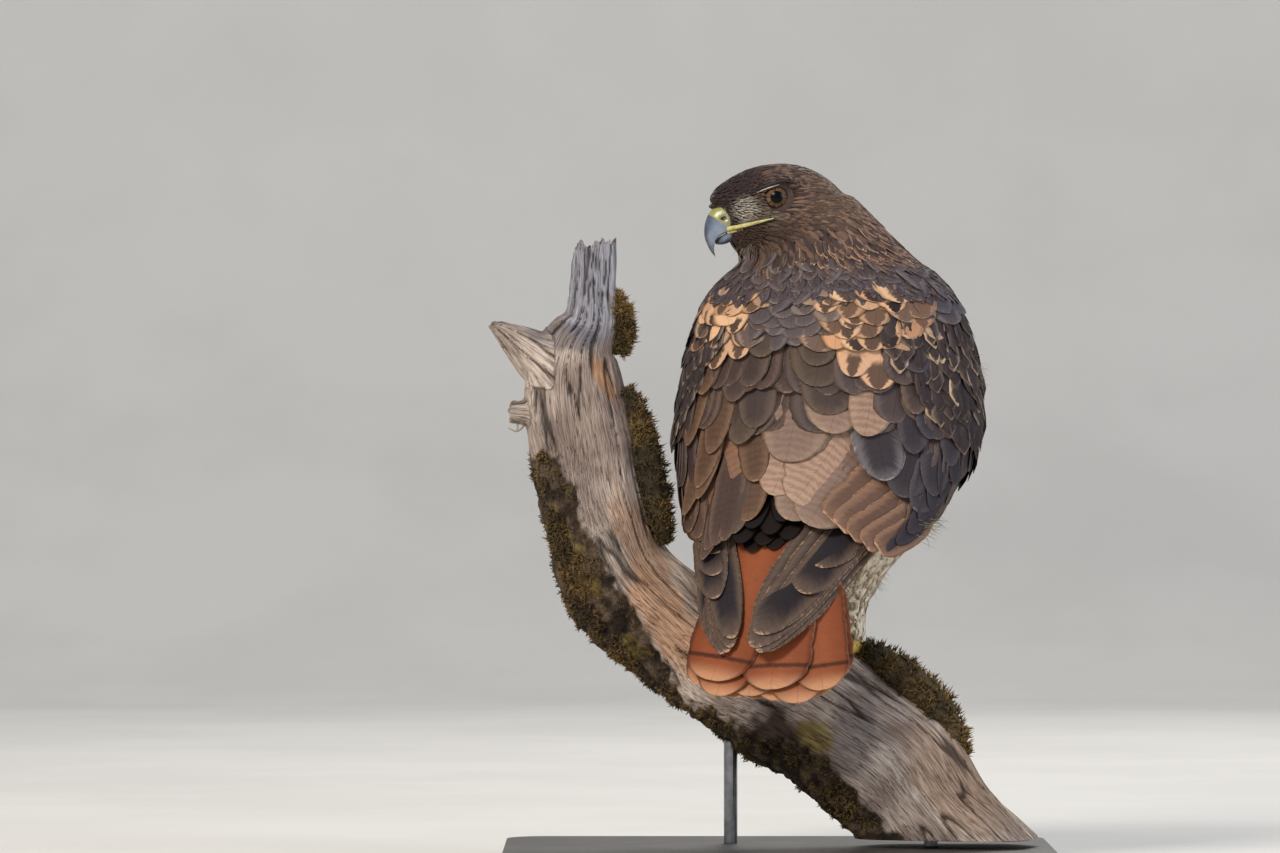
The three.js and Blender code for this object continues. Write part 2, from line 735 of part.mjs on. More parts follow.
// The room that the fan of the tail takes up: one curved plate from root to tip
function tailPlate(grow = 0) {
  const shares = [-1, -0.5, 0, 0.5, 1];
  const rings = TAIL_ROOM.map(([t, half, depth]) => {
    const along = tailLength * t + (t === 0 ? -grow : grow * Number(t === 1));
    const edge = (share, lift) => {
      const across = share * (half + grow);
      return tailPoint(along, across, lift + Math.sign(lift) * grow - (across ** 2) / TAIL_CURL);
    };
    return [
      ...shares.map((share) => edge(share, TAIL_TOP)),
      ...shares.map((share) => edge(-share, -1 - depth * Math.abs(share))),
    ];
  });
  return loft(rings);
}

function tailSolid() {
  const whole = unite([tailStem(), ...tailVanes(), ...tailCoverts()]);
  return clearOf(whole, [torsoSolid(FACE_GAP)]);
}

// Neck and head
function neckSolid(grow = 0) {
  const rings = NECK.map(([z, r, f, half, behind, front], i) => (
    Array.from({ length: TORSO_SIDES }, (_, j) => {
      const angle = (j / TORSO_SIDES) * Math.PI * 2;
      const depth = Math.cos(angle) > 0 ? behind : front;
      const end = i === 0 ? -grow : grow * Number(i === NECK.length - 1);
      return bird(r + (half + grow) * Math.sin(angle), f - (depth + grow) * Math.cos(angle), z + end);
    })
  ));
  return loft(rings);
}

// A point of the head from x along the bill, distance to the left side and height
function headPoint(x, side, z) {
  const pivot = new THREE.Vector3(HEAD_PIVOT_X, HEAD_Y, 0);
  const point = new THREE.Vector3(x - HEAD_PIVOT_X, -side, z);
  point.applyAxisAngle(new THREE.Vector3(0, 0, 1), HEAD_TURN);
  return point.add(pivot);
}

function headShell() {
  const rings = HEAD.map(([x, top, bottom, half]) => {
    const middle = mix(bottom, top, HEAD_WIDEST);
    return Array.from({ length: HEAD_SIDES }, (_, j) => {
      const angle = (j / HEAD_SIDES) * Math.PI * 2;
      const [s, c] = [Math.sin(angle), Math.cos(angle)];
      const side = half * Math.sign(s) * Math.abs(s) ** 0.86;
      const height = (c > 0 ? top - middle : middle - bottom) * Math.sign(c) * Math.abs(c) ** 0.95;
      return headPoint(x, side, middle + height);
    });
  });
  return loft(rings);
}

// A bill half: rings square to its middle line in the head's middle plane
function billSolid(rows, grow = 0) {
  const rings = rows.map(([x, z, height, width], i) => {
    const next = rows[Math.min(i + 1, rows.length - 1)];
    const before = rows[Math.max(i - 1, 0)];
    const along = new THREE.Vector2(next[0] - before[0], next[1] - before[1]).normalize();
    const end = i === 0 ? -grow : grow * Number(i === rows.length - 1);
    return Array.from({ length: BILL_SIDES }, (_, j) => {
      const angle = (j / BILL_SIDES) * Math.PI * 2;
      const rise = (height + grow) * Math.cos(angle);
      const side = (width + grow) * Math.sin(angle);
      return headPoint(x + along.x * end + along.y * rise, side, z + along.y * end - along.x * rise);
    });
  });
  return loft(rings);
}

function lineOnHead(rows, side, radius, sides) {
  const points = rows.map(([x, z, out, own]) => [headPoint(x, side * out, z), own]);
  return taperedLimb(points.map(([p, own]) => [p.x, p.y, p.z, own ?? radius]), sides);
}

function eyeCentre(side) {
  return headPoint(EYE.x, side * EYE.side, EYE.z);
}

function eyeSolid(side, grow = 0) {
  const geometry = new THREE.SphereGeometry(EYE.radius + grow, 14, 9);
  geometry.rotateX(Math.PI / 2);
  const centre = eyeCentre(side);
  geometry.translate(centre.x, centre.y, centre.z);
  return fromGeometry(geometry);
}

// A round opening over each eye, so that the whole of the eye shows
function eyeOpening(side) {
  const geometry = new THREE.CylinderGeometry(SOCKET_RADIUS + 4, SOCKET_RADIUS, 24, 14);
  if (side > 0) geometry.rotateX(Math.PI);
  const centre = headPoint(EYE.x, side * (SOCKET_FLOOR + 12), EYE.z);
  geometry.translate(centre.x, centre.y, centre.z);
  return fromGeometry(geometry);
}

function lidSolid(side) {
  const geometry = new THREE.TorusGeometry(LID_RADIUS, LID_THICKNESS, 4, 12);
  geometry.rotateX(Math.PI / 2);
  const reach = Math.sqrt((EYE.radius + GAP) ** 2 - LID_RADIUS ** 2);
  const centre = headPoint(EYE.x, side * (EYE.side + reach), EYE.z);
  geometry.translate(centre.x, centre.y, centre.z);
  return fromGeometry(geometry);
}

function nostrils() {
  return [1, -1].map((side) => {
    const centre = headPoint(NOSTRIL.x, side * NOSTRIL.side, NOSTRIL.z);
    return ballSolid(centre, [NOSTRIL.length, NOSTRIL.depth, NOSTRIL.height], NOSTRIL.tilt);
  });
}

const sides = [1, -1];
const upperBill = billSolid(BILL_UPPER);
const upperBillClear = billSolid(BILL_UPPER, GAP);
const lowerBill = billSolid(BILL_LOWER).subtract(upperBillClear);
const lowerBillClear = billSolid(BILL_LOWER, GAP);

const openHead = clearOf(headShell(), sides.map((side) => eyeOpening(side)));
let headAndNeck = unite([
  openHead,
  neckSolid(),
  ...sides.map((side) => lidSolid(side)),
  ...sides.map((side) => lineOnHead(BROW, side, 2, 7)),
  ...sides.map((side) => lineOnHead(GAPE_LINE, side, GAPE_RADIUS, 5)),
]);
headAndNeck = clearOf(headAndNeck, [eyeSolid(1, GAP), eyeSolid(-1, GAP), upperBillClear, lowerBillClear]);

const [throatCut, napeCut] = HEAD_CUT.map(([x, z]) => new THREE.Vector3(x, HEAD_Y, z));
const headCutNormal = new THREE.Vector3(throatCut.z - napeCut.z, 0, napeCut.x - throatCut.x).normalize();
const aboveCut = halfSpace(throatCut, headCutNormal, 1);
const belowCut = halfSpace(throatCut, headCutNormal, -1);
const aboveTorso = halfSpace(new THREE.Vector3(0, 0, NECK_PLANE), upward, 1);
const belowNeck = halfSpace(new THREE.Vector3(0, 0, NECK_PLANE), upward, -1);

addPart('head', headAndNeck.intersect(aboveCut).intersect(aboveTorso), COLOURS.head, 0.85);
addPart('neck', headAndNeck.intersect(belowCut).intersect(aboveTorso), COLOURS.head, 0.85);
addPart('bill_upper', clearOf(upperBill, nostrils()), COLOURS.bill, 0.35);
addPart('bill_lower', lowerBill, COLOURS.bill, 0.4);
addPart('eye_left', eyeSolid(1), COLOURS.eye, 0.1);
addPart('eye_right', eyeSolid(-1), COLOURS.eye, 0.1);

// Legs and feet
function limbAt(x, topShare = 0) {
  let [low, high] = [0, 0.7];
  for (let i = 0; i < 30; i += 1) {
    const t = (low + high) / 2;
    const { middle, up, radius } = limbFrame(t);
    if (middle.x + up.x * radius * topShare > x) low = t;
    else high = t;
  }
  return limbFrame(low);
}

function legPlace(side) {
  const spot = bird(side * LEG_SPACING, LEG_FORWARD, 0);
  const frame = limbAt(spot.x, 1);
  const lean = (spot.y - frame.middle.y) / (frame.radius * LIMB_FLATNESS);
  return { ...frame, lean: Math.asin(THREE.MathUtils.clamp(lean, -0.6, 0.6)) };
}

// A point over the bark: angle round the limb from its top to the far side, shift along it
function overBark(place, angle, shift, height) {
  const turn = place.lean + angle;
  const outward = place.up
    .clone()
    .multiplyScalar(Math.cos(turn) * (place.radius + height))
    .addScaledVector(place.depth, Math.sin(turn) * (place.radius * LIMB_FLATNESS + height));
  return place.middle.clone().add(outward).addScaledVector(place.along, shift);
}

function toeLine(place, toe, side) {
  const rows = [];
  const steps = 4;
  for (let i = 0; i <= steps; i += 1) {
    const t = i / steps;
    const angle = THREE.MathUtils.degToRad(mix(toe.from * 0.2, toe.to, t));
    const point = overBark(place, angle, side * toe.spread * t, TOE_RADIUS + 3 - 2 * t);
    const pad = 1 + 0.1 * Math.cos(t * Math.PI * 6);
    rows.push([point.x, point.y, point.z, TOE_RADIUS * mix(1.08, 0.82, t) * pad]);
  }
  return rows;
}

function clawLine(place, toe, side) {
  const rows = [];
  const steps = 4;
  const start = toe.to + Math.sign(toe.to) * 0.6;
  const sweep = (CLAW_LENGTH / place.radius) * (180 / Math.PI) * Math.sign(toe.to);
  for (let i = 0; i <= steps; i += 1) {
    const t = i / steps;
    const angle = THREE.MathUtils.degToRad(start + sweep * t);
    const hump = 2.6 * Math.sin(Math.PI * Math.min(1, t * 1.1)) - 5 * t * t;
    const point = overBark(place, angle, side * toe.spread * (1 + 0.3 * t), TOE_RADIUS + 1.2 + hump);
    rows.push([point.x, point.y, point.z, Math.max(0.35, CLAW_RADIUS * (1 - t) ** 0.8)]);
  }
  return rows;
}

function footSolid(place, side, grow = 0) {
  const heel = overBark(place, 0, 0, TOE_RADIUS + 4);
  const pad = ballSolid(heel, [8 + grow, 8 + grow, 7 + grow]);
  const top = bird(side * LEG_SPACING, LEG_FORWARD, SHANK_TOP);
  const shank = taperedLimb(
    [[heel.x, heel.y, heel.z, SHANK_RADIUS + 1], [top.x, top.y, top.z, SHANK_RADIUS]],
    TOE_SIDES,
    grow,
  );
  const toes = TOES.map((toe) => taperedLimb(toeLine(place, toe, side), TOE_SIDES, grow));
  return unite([pad, shank, ...toes]);
}

function thighSolid(side, grow = 0) {
  const rings = THIGH.map(([z, f, half, depth]) => {
    const inward = mix(0, 5, THREE.MathUtils.smoothstep(z, 184, 258));
    return Array.from({ length: THIGH_SIDES }, (_, j) => {
      const angle = (j / THIGH_SIDES) * Math.PI * 2;
      const r = side * (LEG_SPACING + inward) + (half + grow) * Math.sin(angle);
      return bird(r, f - (depth + grow) * Math.cos(angle), z);
    });
  });
  return loft(rings);
}

const feet = sides.map((side) => ({ side, name: side > 0 ? 'right' : 'left', place: legPlace(side) }));
const gripped = [];
feet.forEach(({ side, name, place }) => {
  const foot = footSolid(place, side);
  const claws = TOES.map((toe) => taperedLimb(clawLine(place, toe, side), 7));
  const clawsClear = TOES.map((toe) => taperedLimb(clawLine(place, toe, side), 7, GAP));
  gripped.push(footSolid(place, side, GAP), ...clawsClear);
  const ownSide = halfSpace(bird(0, 0, 0), bird(side, 0, 0).sub(bird(0, 0, 0)), 1);
  const thigh = thighSolid(side).intersect(ownSide);
  const leg = clearOf(thigh, [torsoSolid(FACE_GAP), footSolid(place, side, GAP)]);
  addPart(`leg_${name}`, leg, COLOURS.leg, 0.9);
  addPart(`foot_${name}`, clearOf(foot, clawsClear), COLOURS.foot, 0.6);
  TOES.forEach((toe, k) => addPart(`claw_${name}_${toe.name}`, claws[k], COLOURS.claw, 0.25));
});

const thighsClear = sides.map((side) => thighSolid(side, GAP));
addPart('torso', torsoSolid().intersect(belowNeck), COLOURS.breast, 0.9);

addPart('tail', clearOf(tailSolid(), thighsClear), COLOURS.tail, 0.8);
addPart('wing_right', wingSolid(1, PRIMARY_RIGHT), COLOURS.back, 0.8);
addPart('wing_left', wingSolid(-1, PRIMARY_LEFT), COLOURS.back, 0.8);

// Stand and limb
const ROD_PLACES = [-34, 112];
const rods = ROD_PLACES.map((x) => {
  const frame = limbAt(x);
  const under = x < 0 ? frame.middle.z - frame.radius * 1.2 : CUT_HEIGHT;
  const top = under + ROD_SOCKET_DEPTH;
  return { x, y: frame.middle.y, top };
});

function rodSolid(rod, grow = 0) {
  const height = rod.top - BASE_THICKNESS - GAP + grow;
  const geometry = new THREE.CylinderGeometry(ROD_RADIUS + grow, ROD_RADIUS + grow, height, 20);
  geometry.rotateX(Math.PI / 2);
  geometry.translate(rod.x, rod.y, BASE_THICKNESS + GAP + height / 2);
  return fromGeometry(geometry);
}

const aboveCutHeight = halfSpace(new THREE.Vector3(0, 0, CUT_HEIGHT), upward, 1);
const rodsClear = rods.map((rod) => rodSolid(rod, GAP));
LIMB_PARTS.forEach(([name, from, to]) => {
  const length = limbLength(from, to).intersect(aboveCutHeight);
  addPart(name, clearOf(length, [...gripped, ...rodsClear]), COLOURS.wood, 0.95);
});

const limbClear = LIMB_PARTS.map(([, from, to]) => limbLength(from, to, GAP));
addPart('perch_spur', clearOf(taperedLimb(SPUR, 10), limbClear), COLOURS.wood, 0.95);
addPart('perch_stub', clearOf(taperedLimb(STUB, 10), limbClear), COLOURS.wood, 0.95);
MOSS.forEach(([name, rows]) => {
  const swellAt = (i) => (angle) => 1 + MOSS_LUMPS * Math.sin(2.6 * angle + 4.1 * i);
  const clump = taperedLimb(rows, 8, 0, swellAt);
  addPart(name, clearOf(clump, [...limbClear, ...gripped]), COLOURS.moss, 1);
});

function baseSolid() {
  const [w, d, r] = [BASE_LENGTH / 2, BASE_DEPTH / 2, BASE_CORNER];
  const outline = new THREE.Shape();
  outline.moveTo(-w + r, -d);
  outline.lineTo(w - r, -d);
  outline.absarc(w - r, -d + r, r, -Math.PI / 2, 0);
  outline.lineTo(w, d - r);
  outline.absarc(w - r, d - r, r, 0, Math.PI / 2);
  outline.lineTo(-w + r, d);
  outline.absarc(-w + r, d - r, r, Math.PI / 2, Math.PI);
  outline.lineTo(-w, -d + r);
  outline.absarc(-w + r, -d + r, r, Math.PI, Math.PI * 1.5);
  const settings = { depth: BASE_THICKNESS, bevelEnabled: false, curveSegments: 5 };
  return fromGeometry(new THREE.ExtrudeGeometry(outline, settings));
}

addPart('stand_base', baseSolid(), COLOURS.stand, 0.5);
addPart('stand_rod_left', rodSolid(rods[0]), COLOURS.steel, 0.35, 0.9);
addPart('stand_rod_right', rodSolid(rods[1]), COLOURS.steel, 0.35, 0.9);

export default group;
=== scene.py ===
import itertools
import math

import bpy
import numpy as np
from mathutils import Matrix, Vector
from mathutils.bvhtree import BVHTree
from mathutils.kdtree import KDTree


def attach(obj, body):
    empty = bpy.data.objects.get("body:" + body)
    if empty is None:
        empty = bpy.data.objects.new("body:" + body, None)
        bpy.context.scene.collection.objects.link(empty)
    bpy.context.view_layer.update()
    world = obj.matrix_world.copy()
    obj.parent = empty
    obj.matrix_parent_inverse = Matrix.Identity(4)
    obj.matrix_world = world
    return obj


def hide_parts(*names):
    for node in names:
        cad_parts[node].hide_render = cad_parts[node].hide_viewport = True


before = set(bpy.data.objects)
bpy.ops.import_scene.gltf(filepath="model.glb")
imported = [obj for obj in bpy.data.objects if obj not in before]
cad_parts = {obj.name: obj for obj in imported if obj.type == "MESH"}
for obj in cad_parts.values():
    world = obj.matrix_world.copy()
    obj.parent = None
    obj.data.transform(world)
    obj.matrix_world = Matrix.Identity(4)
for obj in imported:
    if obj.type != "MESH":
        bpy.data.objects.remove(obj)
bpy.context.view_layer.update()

MM = 0.001
rng = np.random.default_rng(7)

# The photograph: millimetres a pixel at the bird, and the pixel that shows the frame's origin
PIXEL = 0.72
PICTURE_X, PICTURE_Z = 780, 888

# Camera: the width in millimetres that it sees at its aim, the aim and the lens
VIEW_WIDTH = 938
VIEW_AIM = (-100.8, 0, 321)
LENS = 200
SENSOR = 36

# Bird's own frame: r to its right, f forward, z up
BIRD_X = 25
BODY_YAW = math.radians(21)

# Closed bird with folded wings: height, middle f, half width, depth behind and in front
ENVELOPE = [
    [222, -40, 82, 40, 40],
    [236, -22, 93, 50, 60],
    [265, 6, 105, 66, 72],
    [294, 26, 114, 76, 80],
    [323, 36, 116.5, 80, 80],
    [351, 41, 114, 80, 78],
    [380, 42, 109, 76, 74],
    [405, 41, 100, 67, 68],
    [423, 41, 89, 58, 60],
    [436, 41, 75, 50, 52],
]
TORSO = [
    [200, 2, 26, 20, 22],
    [211, 0, 48, 38, 38],
    [231, 2, 68, 50, 52],
    [260, 13, 85, 61, 66],
    [291, 27, 94, 68, 77],
    [323, 36, 97, 69, 82],
    [360, 41, 95, 67, 80],
    [392, 42, 88, 58, 71],
    [425, 41, 75, 48, 57],
]
# Neck: height, middle r and f, half width, depth behind and in front
NECK = [
    [424, 0, 41, 84, 55, 57],
    [431, 0, 40, 78, 51, 55],
    [438, -1, 40, 71, 47, 52],
    [446, -4, 42, 64, 44, 50],
    [457, -10, 42, 58, 40, 46],
    [468, -13, 42, 51, 37, 42],
    [480, -15, 42, 42, 33, 36],
    [491, -15, 42, 30, 25, 27],
]
# Head: x along the bill, top and bottom heights, half width
HEAD = [
    [-50, 488, 480, 4],
    [-46, 495.4, 481, 8.5],
    [-39, 501, 480.5, 12.5],
    [-35.5, 503.4, 461, 15.5],
    [-30, 506.5, 451, 18.5],
    [-21.6, 510.5, 445, 22.5],
    [-10.8, 513.4, 441, 26],
    [1.4, 514.8, 439, 28.5],
    [14.4, 513.7, 438.5, 30.5],
    [26.6, 509.8, 439, 31],
    [37.4, 503.6, 441, 29],
    [47.5, 494.3, 446, 24],
    [56.2, 482, 453, 15],
]
HEAD_Y = 45
HEAD_WIDEST = 0.55
HEAD_PIVOT_X = 22
HEAD_TURN = math.radians(3)

# Bill in profile: ridge x and z, edge of the mouth x and z, half width
BILL_UPPER = [
    [-25, 489, -21, 466, 11.2],
    [-34, 488, -28, 465.5, 11],
    [-42, 485.4, -33, 466, 10.8],
    [-49, 480, -38.2, 463.6, 10],
    [-52.4, 473, -42.6, 461.4, 8.4],
    [-53.5, 466.6, -45, 458.8, 6.5],
    [-53.1, 460.5, -46, 456, 4.9],
    [-51.2, 455, -46.4, 453, 3.3],
    [-48.6, 450.3, -46.2, 450.3, 1.9],
    [-44.9, 446, -45.2, 446.4, 0.4],
]
# The lower bill's rows give its lower edge first
BILL_LOWER = [
    [-20, 459.5, -20, 467, 9.6],
    [-28, 458.6, -28, 464.9, 9.6],
    [-32.4, 457.8, -33, 465.2, 9.2],
    [-38.2, 455.7, -38.2, 463.1, 8],
    [-42.4, 455.2, -42.6, 460.8, 5.4],
    [-45.2, 455.8, -45.2, 458, 2.2],
]
# The cere ends along a line: a place on it and its fall
CERE_X, CERE_Z, CERE_FALL = -49.4, 476.7, 0.71
GAPE_LINE = [[-36.5, 466.6, 10.6], [-26, 468.8, 18.6], [-14, 471.6, 24.2], [-4, 474, 27.6]]
EYE_X, EYE_Z, EYE_SIDE, EYE_RADIUS = -1.4, 489.6, 19.2, 10.8
BROW = [[-24, 490, 17, 2.6], [-11, 497, 23.5, 4.2], [1, 501, 25.4, 4.6], [14, 500, 25.6, 2.6]]
BROW_PROUD = 0.8
NOSTRIL_X, NOSTRIL_Z = -39.8, 474.6

# Thigh: height, middle f, half width and depth
THIGH = [
    [164, 12.5, 7.5, 8],
    [172, 12.5, 8.5, 9],
    [183, 12, 9, 10.5],
    [196, 10, 12.5, 15],
    [216, 7, 24, 28],
    [240, 2, 33, 37],
    [262, -2, 34, 40],
]
LEG_SPACING = 27

# Limb: x, y, z and radius along its middle line
LIMB = [
    [158, -18, -12, 48],
    [122, -12, 22, 48],
    [78, -4, 73, 50],
    [43, 6, 99, 52],
    [7, 19, 120, 50],
    [-28, 29, 136, 47],
    [-63, 36, 158, 43],
    [-99, 40, 189, 42],
    [-122, 42, 223, 41],
    [-134, 42, 269, 39],
    [-144, 42, 319, 39],
    [-149, 42, 356, 36],
    [-147, 42, 380, 29],
    [-138, 41, 399, 21],
    [-136, 40, 423, 17],
    [-135, 40, 446, 16],
    [-134, 40, 456, 15],
]
SPUR = [
    [-150, 42, 352, 24],
    [-168, 41, 366, 22],
    [-184, 40, 378, 16.5],
    [-196, 39, 387, 10.5],
    [-206, 38.5, 394, 5],
    [-211.5, 38, 396.5, 1.5],
]
STUB = [
    [-150, 40, 326, 12],
    [-167, 36, 328, 10.5],
    [-184, 33, 331, 9.5],
    [-197, 31, 332, 8.5],
]
MOSS = {
    "trunk": [[-113, 34, 350, 4], [-105, 34, 331, 12], [-100, 33, 308, 16], [-94, 32, 282, 15],
              [-88, 31, 256, 13], [-82, 30, 234, 5]],
    "snag": [[-121, 38, 420, 3], [-116, 38, 406, 8], [-114, 38, 390, 9], [-116, 38, 374, 4]],
    "lower": [[62, 2, 160, 5], [73, -3, 152, 12], [90, -7, 138, 17], [108, -11, 120, 18],
              [124, -14, 101, 14], [138, -16, 80, 5]],
    "bark": [[-164, 30, 262, 3], [-160, 28, 246, 9], [-151, 26, 226, 12], [-139, 22, 206, 11],
             [-124, 18, 190, 4]],
}
LIMB_FLATNESS = 0.86
LIMB_GNARL = 0.1
CUT_HEIGHT = 20

TAIL_ROOT = (0, -27, 297)
TAIL_TIP = (7, -125, 119)


# Numbers along rows and curves


def sample(rows, at):
    """Smooth interpolation of rows sorted by their first column."""
    rows = np.asarray(rows, float)
    at = np.asarray(at, float)
    x, y = rows[:, 0], rows[:, 1:]
    slope = np.empty_like(y)
    slope[1:-1] = (y[2:] - y[:-2]) / (x[2:] - x[:-2])[:, None]
    slope[0] = (y[1] - y[0]) / (x[1] - x[0])
    slope[-1] = (y[-1] - y[-2]) / (x[-1] - x[-2])
    i = np.clip(np.searchsorted(x, at, "right") - 1, 0, len(x) - 2)
    span = (x[i + 1] - x[i])[..., None]
    t = np.clip((at[..., None] - x[i][..., None]) / span, 0, 1)
    value = y[i] + (y[i + 1] - y[i]) * t * t * (3 - 2 * t)
    return value + t * (1 - t) * span * ((1 - t) * slope[i] - t * slope[i + 1])


def run_along(line):
    """The way that each point of a line, or of many lines, lies from its start."""
    steps = np.linalg.norm(np.diff(line, axis=-2), axis=-1)
    return np.concatenate([np.zeros((*steps.shape[:-1], 1)), np.cumsum(steps, -1)], -1)


def along_points(points, count):
    """A smooth line through points of any width, at evenly spaced shares of its length."""
    points = np.asarray(points, float)
    rows = np.column_stack([run_along(points[:, :3]), points])
    return sample(rows, np.linspace(0, rows[-1, 0], count))


def mix(a, b, t):
    return a + (b - a) * t


def smooth_step(low, high, value):
    t = np.clip((np.asarray(value, float) - low) / (high - low), 0, 1)
    return t * t * (3 - 2 * t)


def unit(v):
    return v / np.maximum(np.linalg.norm(v, axis=-1, keepdims=True), 1e-9)


def around(count):
    """Angles that go once round a ring."""
    return np.linspace(0, 2 * math.pi, count, endpoint=False)


def arc(root, middle, tip, t):
    """A simple curve through three points, at shares t of its way."""
    control = 2 * middle - (root + tip) / 2
    return (1 - t) ** 2 * root + 2 * t * (1 - t) * control + t ** 2 * tip


def wobble(points, scale, seed):
    """A smooth pattern between -1 and 1 in space, made of crossed waves."""
    turn = np.random.default_rng(seed)
    total = 0
    for octave in range(3):
        waves = turn.normal(size=(4, 3)) * (2 ** octave) / scale
        total = total + np.sin(points @ waves.T + turn.uniform(0, 6.28, 4)).sum(-1) * 0.5 ** octave
    return total / 4


def bird(r, f, z):
    s, c = math.sin(BODY_YAW), math.cos(BODY_YAW)
    r, f, z = np.broadcast_arrays(r, f, z)
    return np.stack([BIRD_X + r * c + f * s, f * c - r * s, np.asarray(z, float)], -1)


def body_point(rows, z, angle, grow=0):
    f, half, behind, front = np.moveaxis(sample(rows, z), -1, 0)
    depth = np.where(np.cos(angle) > 0, behind, front)
    return bird((half + grow) * np.sin(angle), f - (depth + grow) * np.cos(angle), z)


def on_envelope(side, degrees, z, lift):
    """Points and outward normals over the folded wings and back."""
    angle = side * np.radians(degrees)
    z = np.asarray(z, float)
    point = body_point(ENVELOPE, z, angle)
    down = body_point(ENVELOPE, z - 2, angle) - body_point(ENVELOPE, z + 2, angle)
    sideways = body_point(ENVELOPE, z, angle + 0.03) - body_point(ENVELOPE, z, angle - 0.03)
    normal = unit(np.cross(down, sideways))
    middle = bird(0, sample(ENVELOPE, z)[..., 0], z)
    normal *= np.sign(((point - middle) * normal).sum(-1, keepdims=True))
    return point + normal * np.asarray(lift)[..., None], normal


def head_point(x, side, z):
    x, side, z = np.broadcast_arrays(x, side, z)
    s, c = math.sin(HEAD_TURN), math.cos(HEAD_TURN)
    dx = x - HEAD_PIVOT_X
    return np.stack([HEAD_PIVOT_X + dx * c + side * s, HEAD_Y + dx * s - side * c, z * 1.0], -1)


# Meshes


def colour(red, green, blue):
    """A colour in light's own measure from its three screen values."""
    return tuple(((v / 255) ** 2.2) for v in (red, green, blue))


def link(thing):
    bpy.context.scene.collection.objects.link(thing)
    return thing


def make_mesh(name, points, faces, layers=None, root_map=None):
    """An object from points and arrays of faces; layers are values kept for each point."""
    groups = faces if isinstance(faces, list) else [faces]
    mesh = bpy.data.meshes.new(name)
    mesh.vertices.add(len(points))
    mesh.vertices.foreach_set("co", (points * MM).astype(np.float32).ravel())
    loops = np.concatenate([g.ravel() for g in groups]).astype(np.int32)
    sizes = np.concatenate([np.full(len(g), g.shape[1]) for g in groups])
    starts = np.concatenate([[0], np.cumsum(sizes)[:-1]]).astype(np.int32)
    mesh.loops.add(len(loops))
    mesh.loops.foreach_set("vertex_index", loops)
    mesh.polygons.add(len(sizes))
    mesh.polygons.foreach_set("loop_start", starts)
    mesh.polygons.foreach_set("use_smooth", np.ones(len(sizes), bool))
    mesh.update(calc_edges=True)
    thing = bpy.data.objects.new(name, mesh)
    for key, values in (layers or {}).items():
        put_layer(thing, key, values)
    if root_map is not None:
        uv = mesh.uv_layers.new(name="OFBake")
        uv.data.foreach_set("uv", root_map[loops].astype(np.float32).ravel())
    return link(thing)


def put_layer(thing, key, values):
    """Keeps a colour, three numbers, or one number three times, for each point of a mesh."""
    if values.ndim == 1:
        values = np.column_stack([values] * 3)
    kind, field = ("FLOAT_COLOR", "color") if values.shape[1] == 4 else ("FLOAT_VECTOR", "vector")
    layer = thing.data.attributes.new(key, kind, "POINT")
    layer.data.foreach_set(field, values.astype(np.float32).ravel())


def dress(thing, material, slot, *nodes):
    """Finishes a piece: its material, its body and the solids it stands for. Its slot is not used."""
    thing.data.materials.clear()
    thing.data.materials.append(material)
    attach(thing, "root")
    if nodes:
        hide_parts(*nodes)
    return thing


def ring_faces(rings, sides, closed=False):
    """Faces between rings of points, from the last ring to the first too when closed."""
    i, j = np.meshgrid(np.arange(rings if closed else rings - 1), np.arange(sides), indexing="ij")
    here, after, k = i * sides, (i + 1) % rings * sides, (j + 1) % sides
    return np.stack([here + j, here + k, after + k, after + j], -1).reshape(-1, 4)


def tube_faces(rings, sides):
    """Faces between rings of points, and a cap at each end."""
    caps = np.array([np.arange(sides)[::-1], (rings - 1) * sides + np.arange(sides)])
    return [ring_faces(rings, sides), caps]


def closed_tube(rings):
    """Points and faces of a closed body through rings of points, with a flat cap at each end."""
    count, sides = rings.shape[:2]
    faces = tube_faces(count, sides)
    points = rings.reshape(-1, 3)
    a, b, c = (points[faces[0][:, i]] for i in range(3))
    middle = rings.mean(1).repeat(sides, 0)[faces[0][:, 0]]
    if (np.cross(b - a, c - a) * (a - middle)).sum() < 0:
        faces = [f[:, ::-1] for f in faces]
    return points, faces


def join(parts):
    """One set of points and faces from several."""
    points, faces, start = [], {}, 0
    for p, groups in parts:
        points.append(p)
        for g in groups:
            faces.setdefault(g.shape[1], []).append(g + start)
        start += len(p)
    return np.concatenate(points), [np.concatenate(g) for g in faces.values()]


def tube_frames(line):
    along = unit(np.gradient(line, axis=0))
    depth = unit(np.array([0, 1, 0]) - along * along[:, 1:2])
    return along, depth, np.cross(depth, along)


def limb_rings(rows, count, sides, flatness=1.0, swell=None):
    rows = along_points(rows, count)
    line, radius = rows[:, :3], rows[:, 3]
    _, depth, up = tube_frames(line)
    angle = around(sides)[None]
    k = 1 if swell is None else swell(np.linspace(0, 1, count)[:, None], angle)
    wide = (radius[:, None] * flatness * np.cos(angle) * k)[..., None] * depth[:, None]
    high = (radius[:, None] * np.sin(angle) * k)[..., None] * up[:, None]
    return line[:, None] + wide + high


# Materials


class Wire:
    """An output of a material's nodes, which sums and products are written with."""

    def __init__(self, nodes, socket):
        self.nodes = nodes
        self.socket = socket

    def __add__(self, other):
        return self.nodes.math("ADD", self, other)

    def __sub__(self, other):
        return self.nodes.math("SUBTRACT", self, other)

    def __rsub__(self, other):
        return self.nodes.math("SUBTRACT", other, self)

    def __mul__(self, other):
        return self.nodes.math("MULTIPLY", self, other)

    def __abs__(self):
        return self.nodes.math("ABSOLUTE", self)


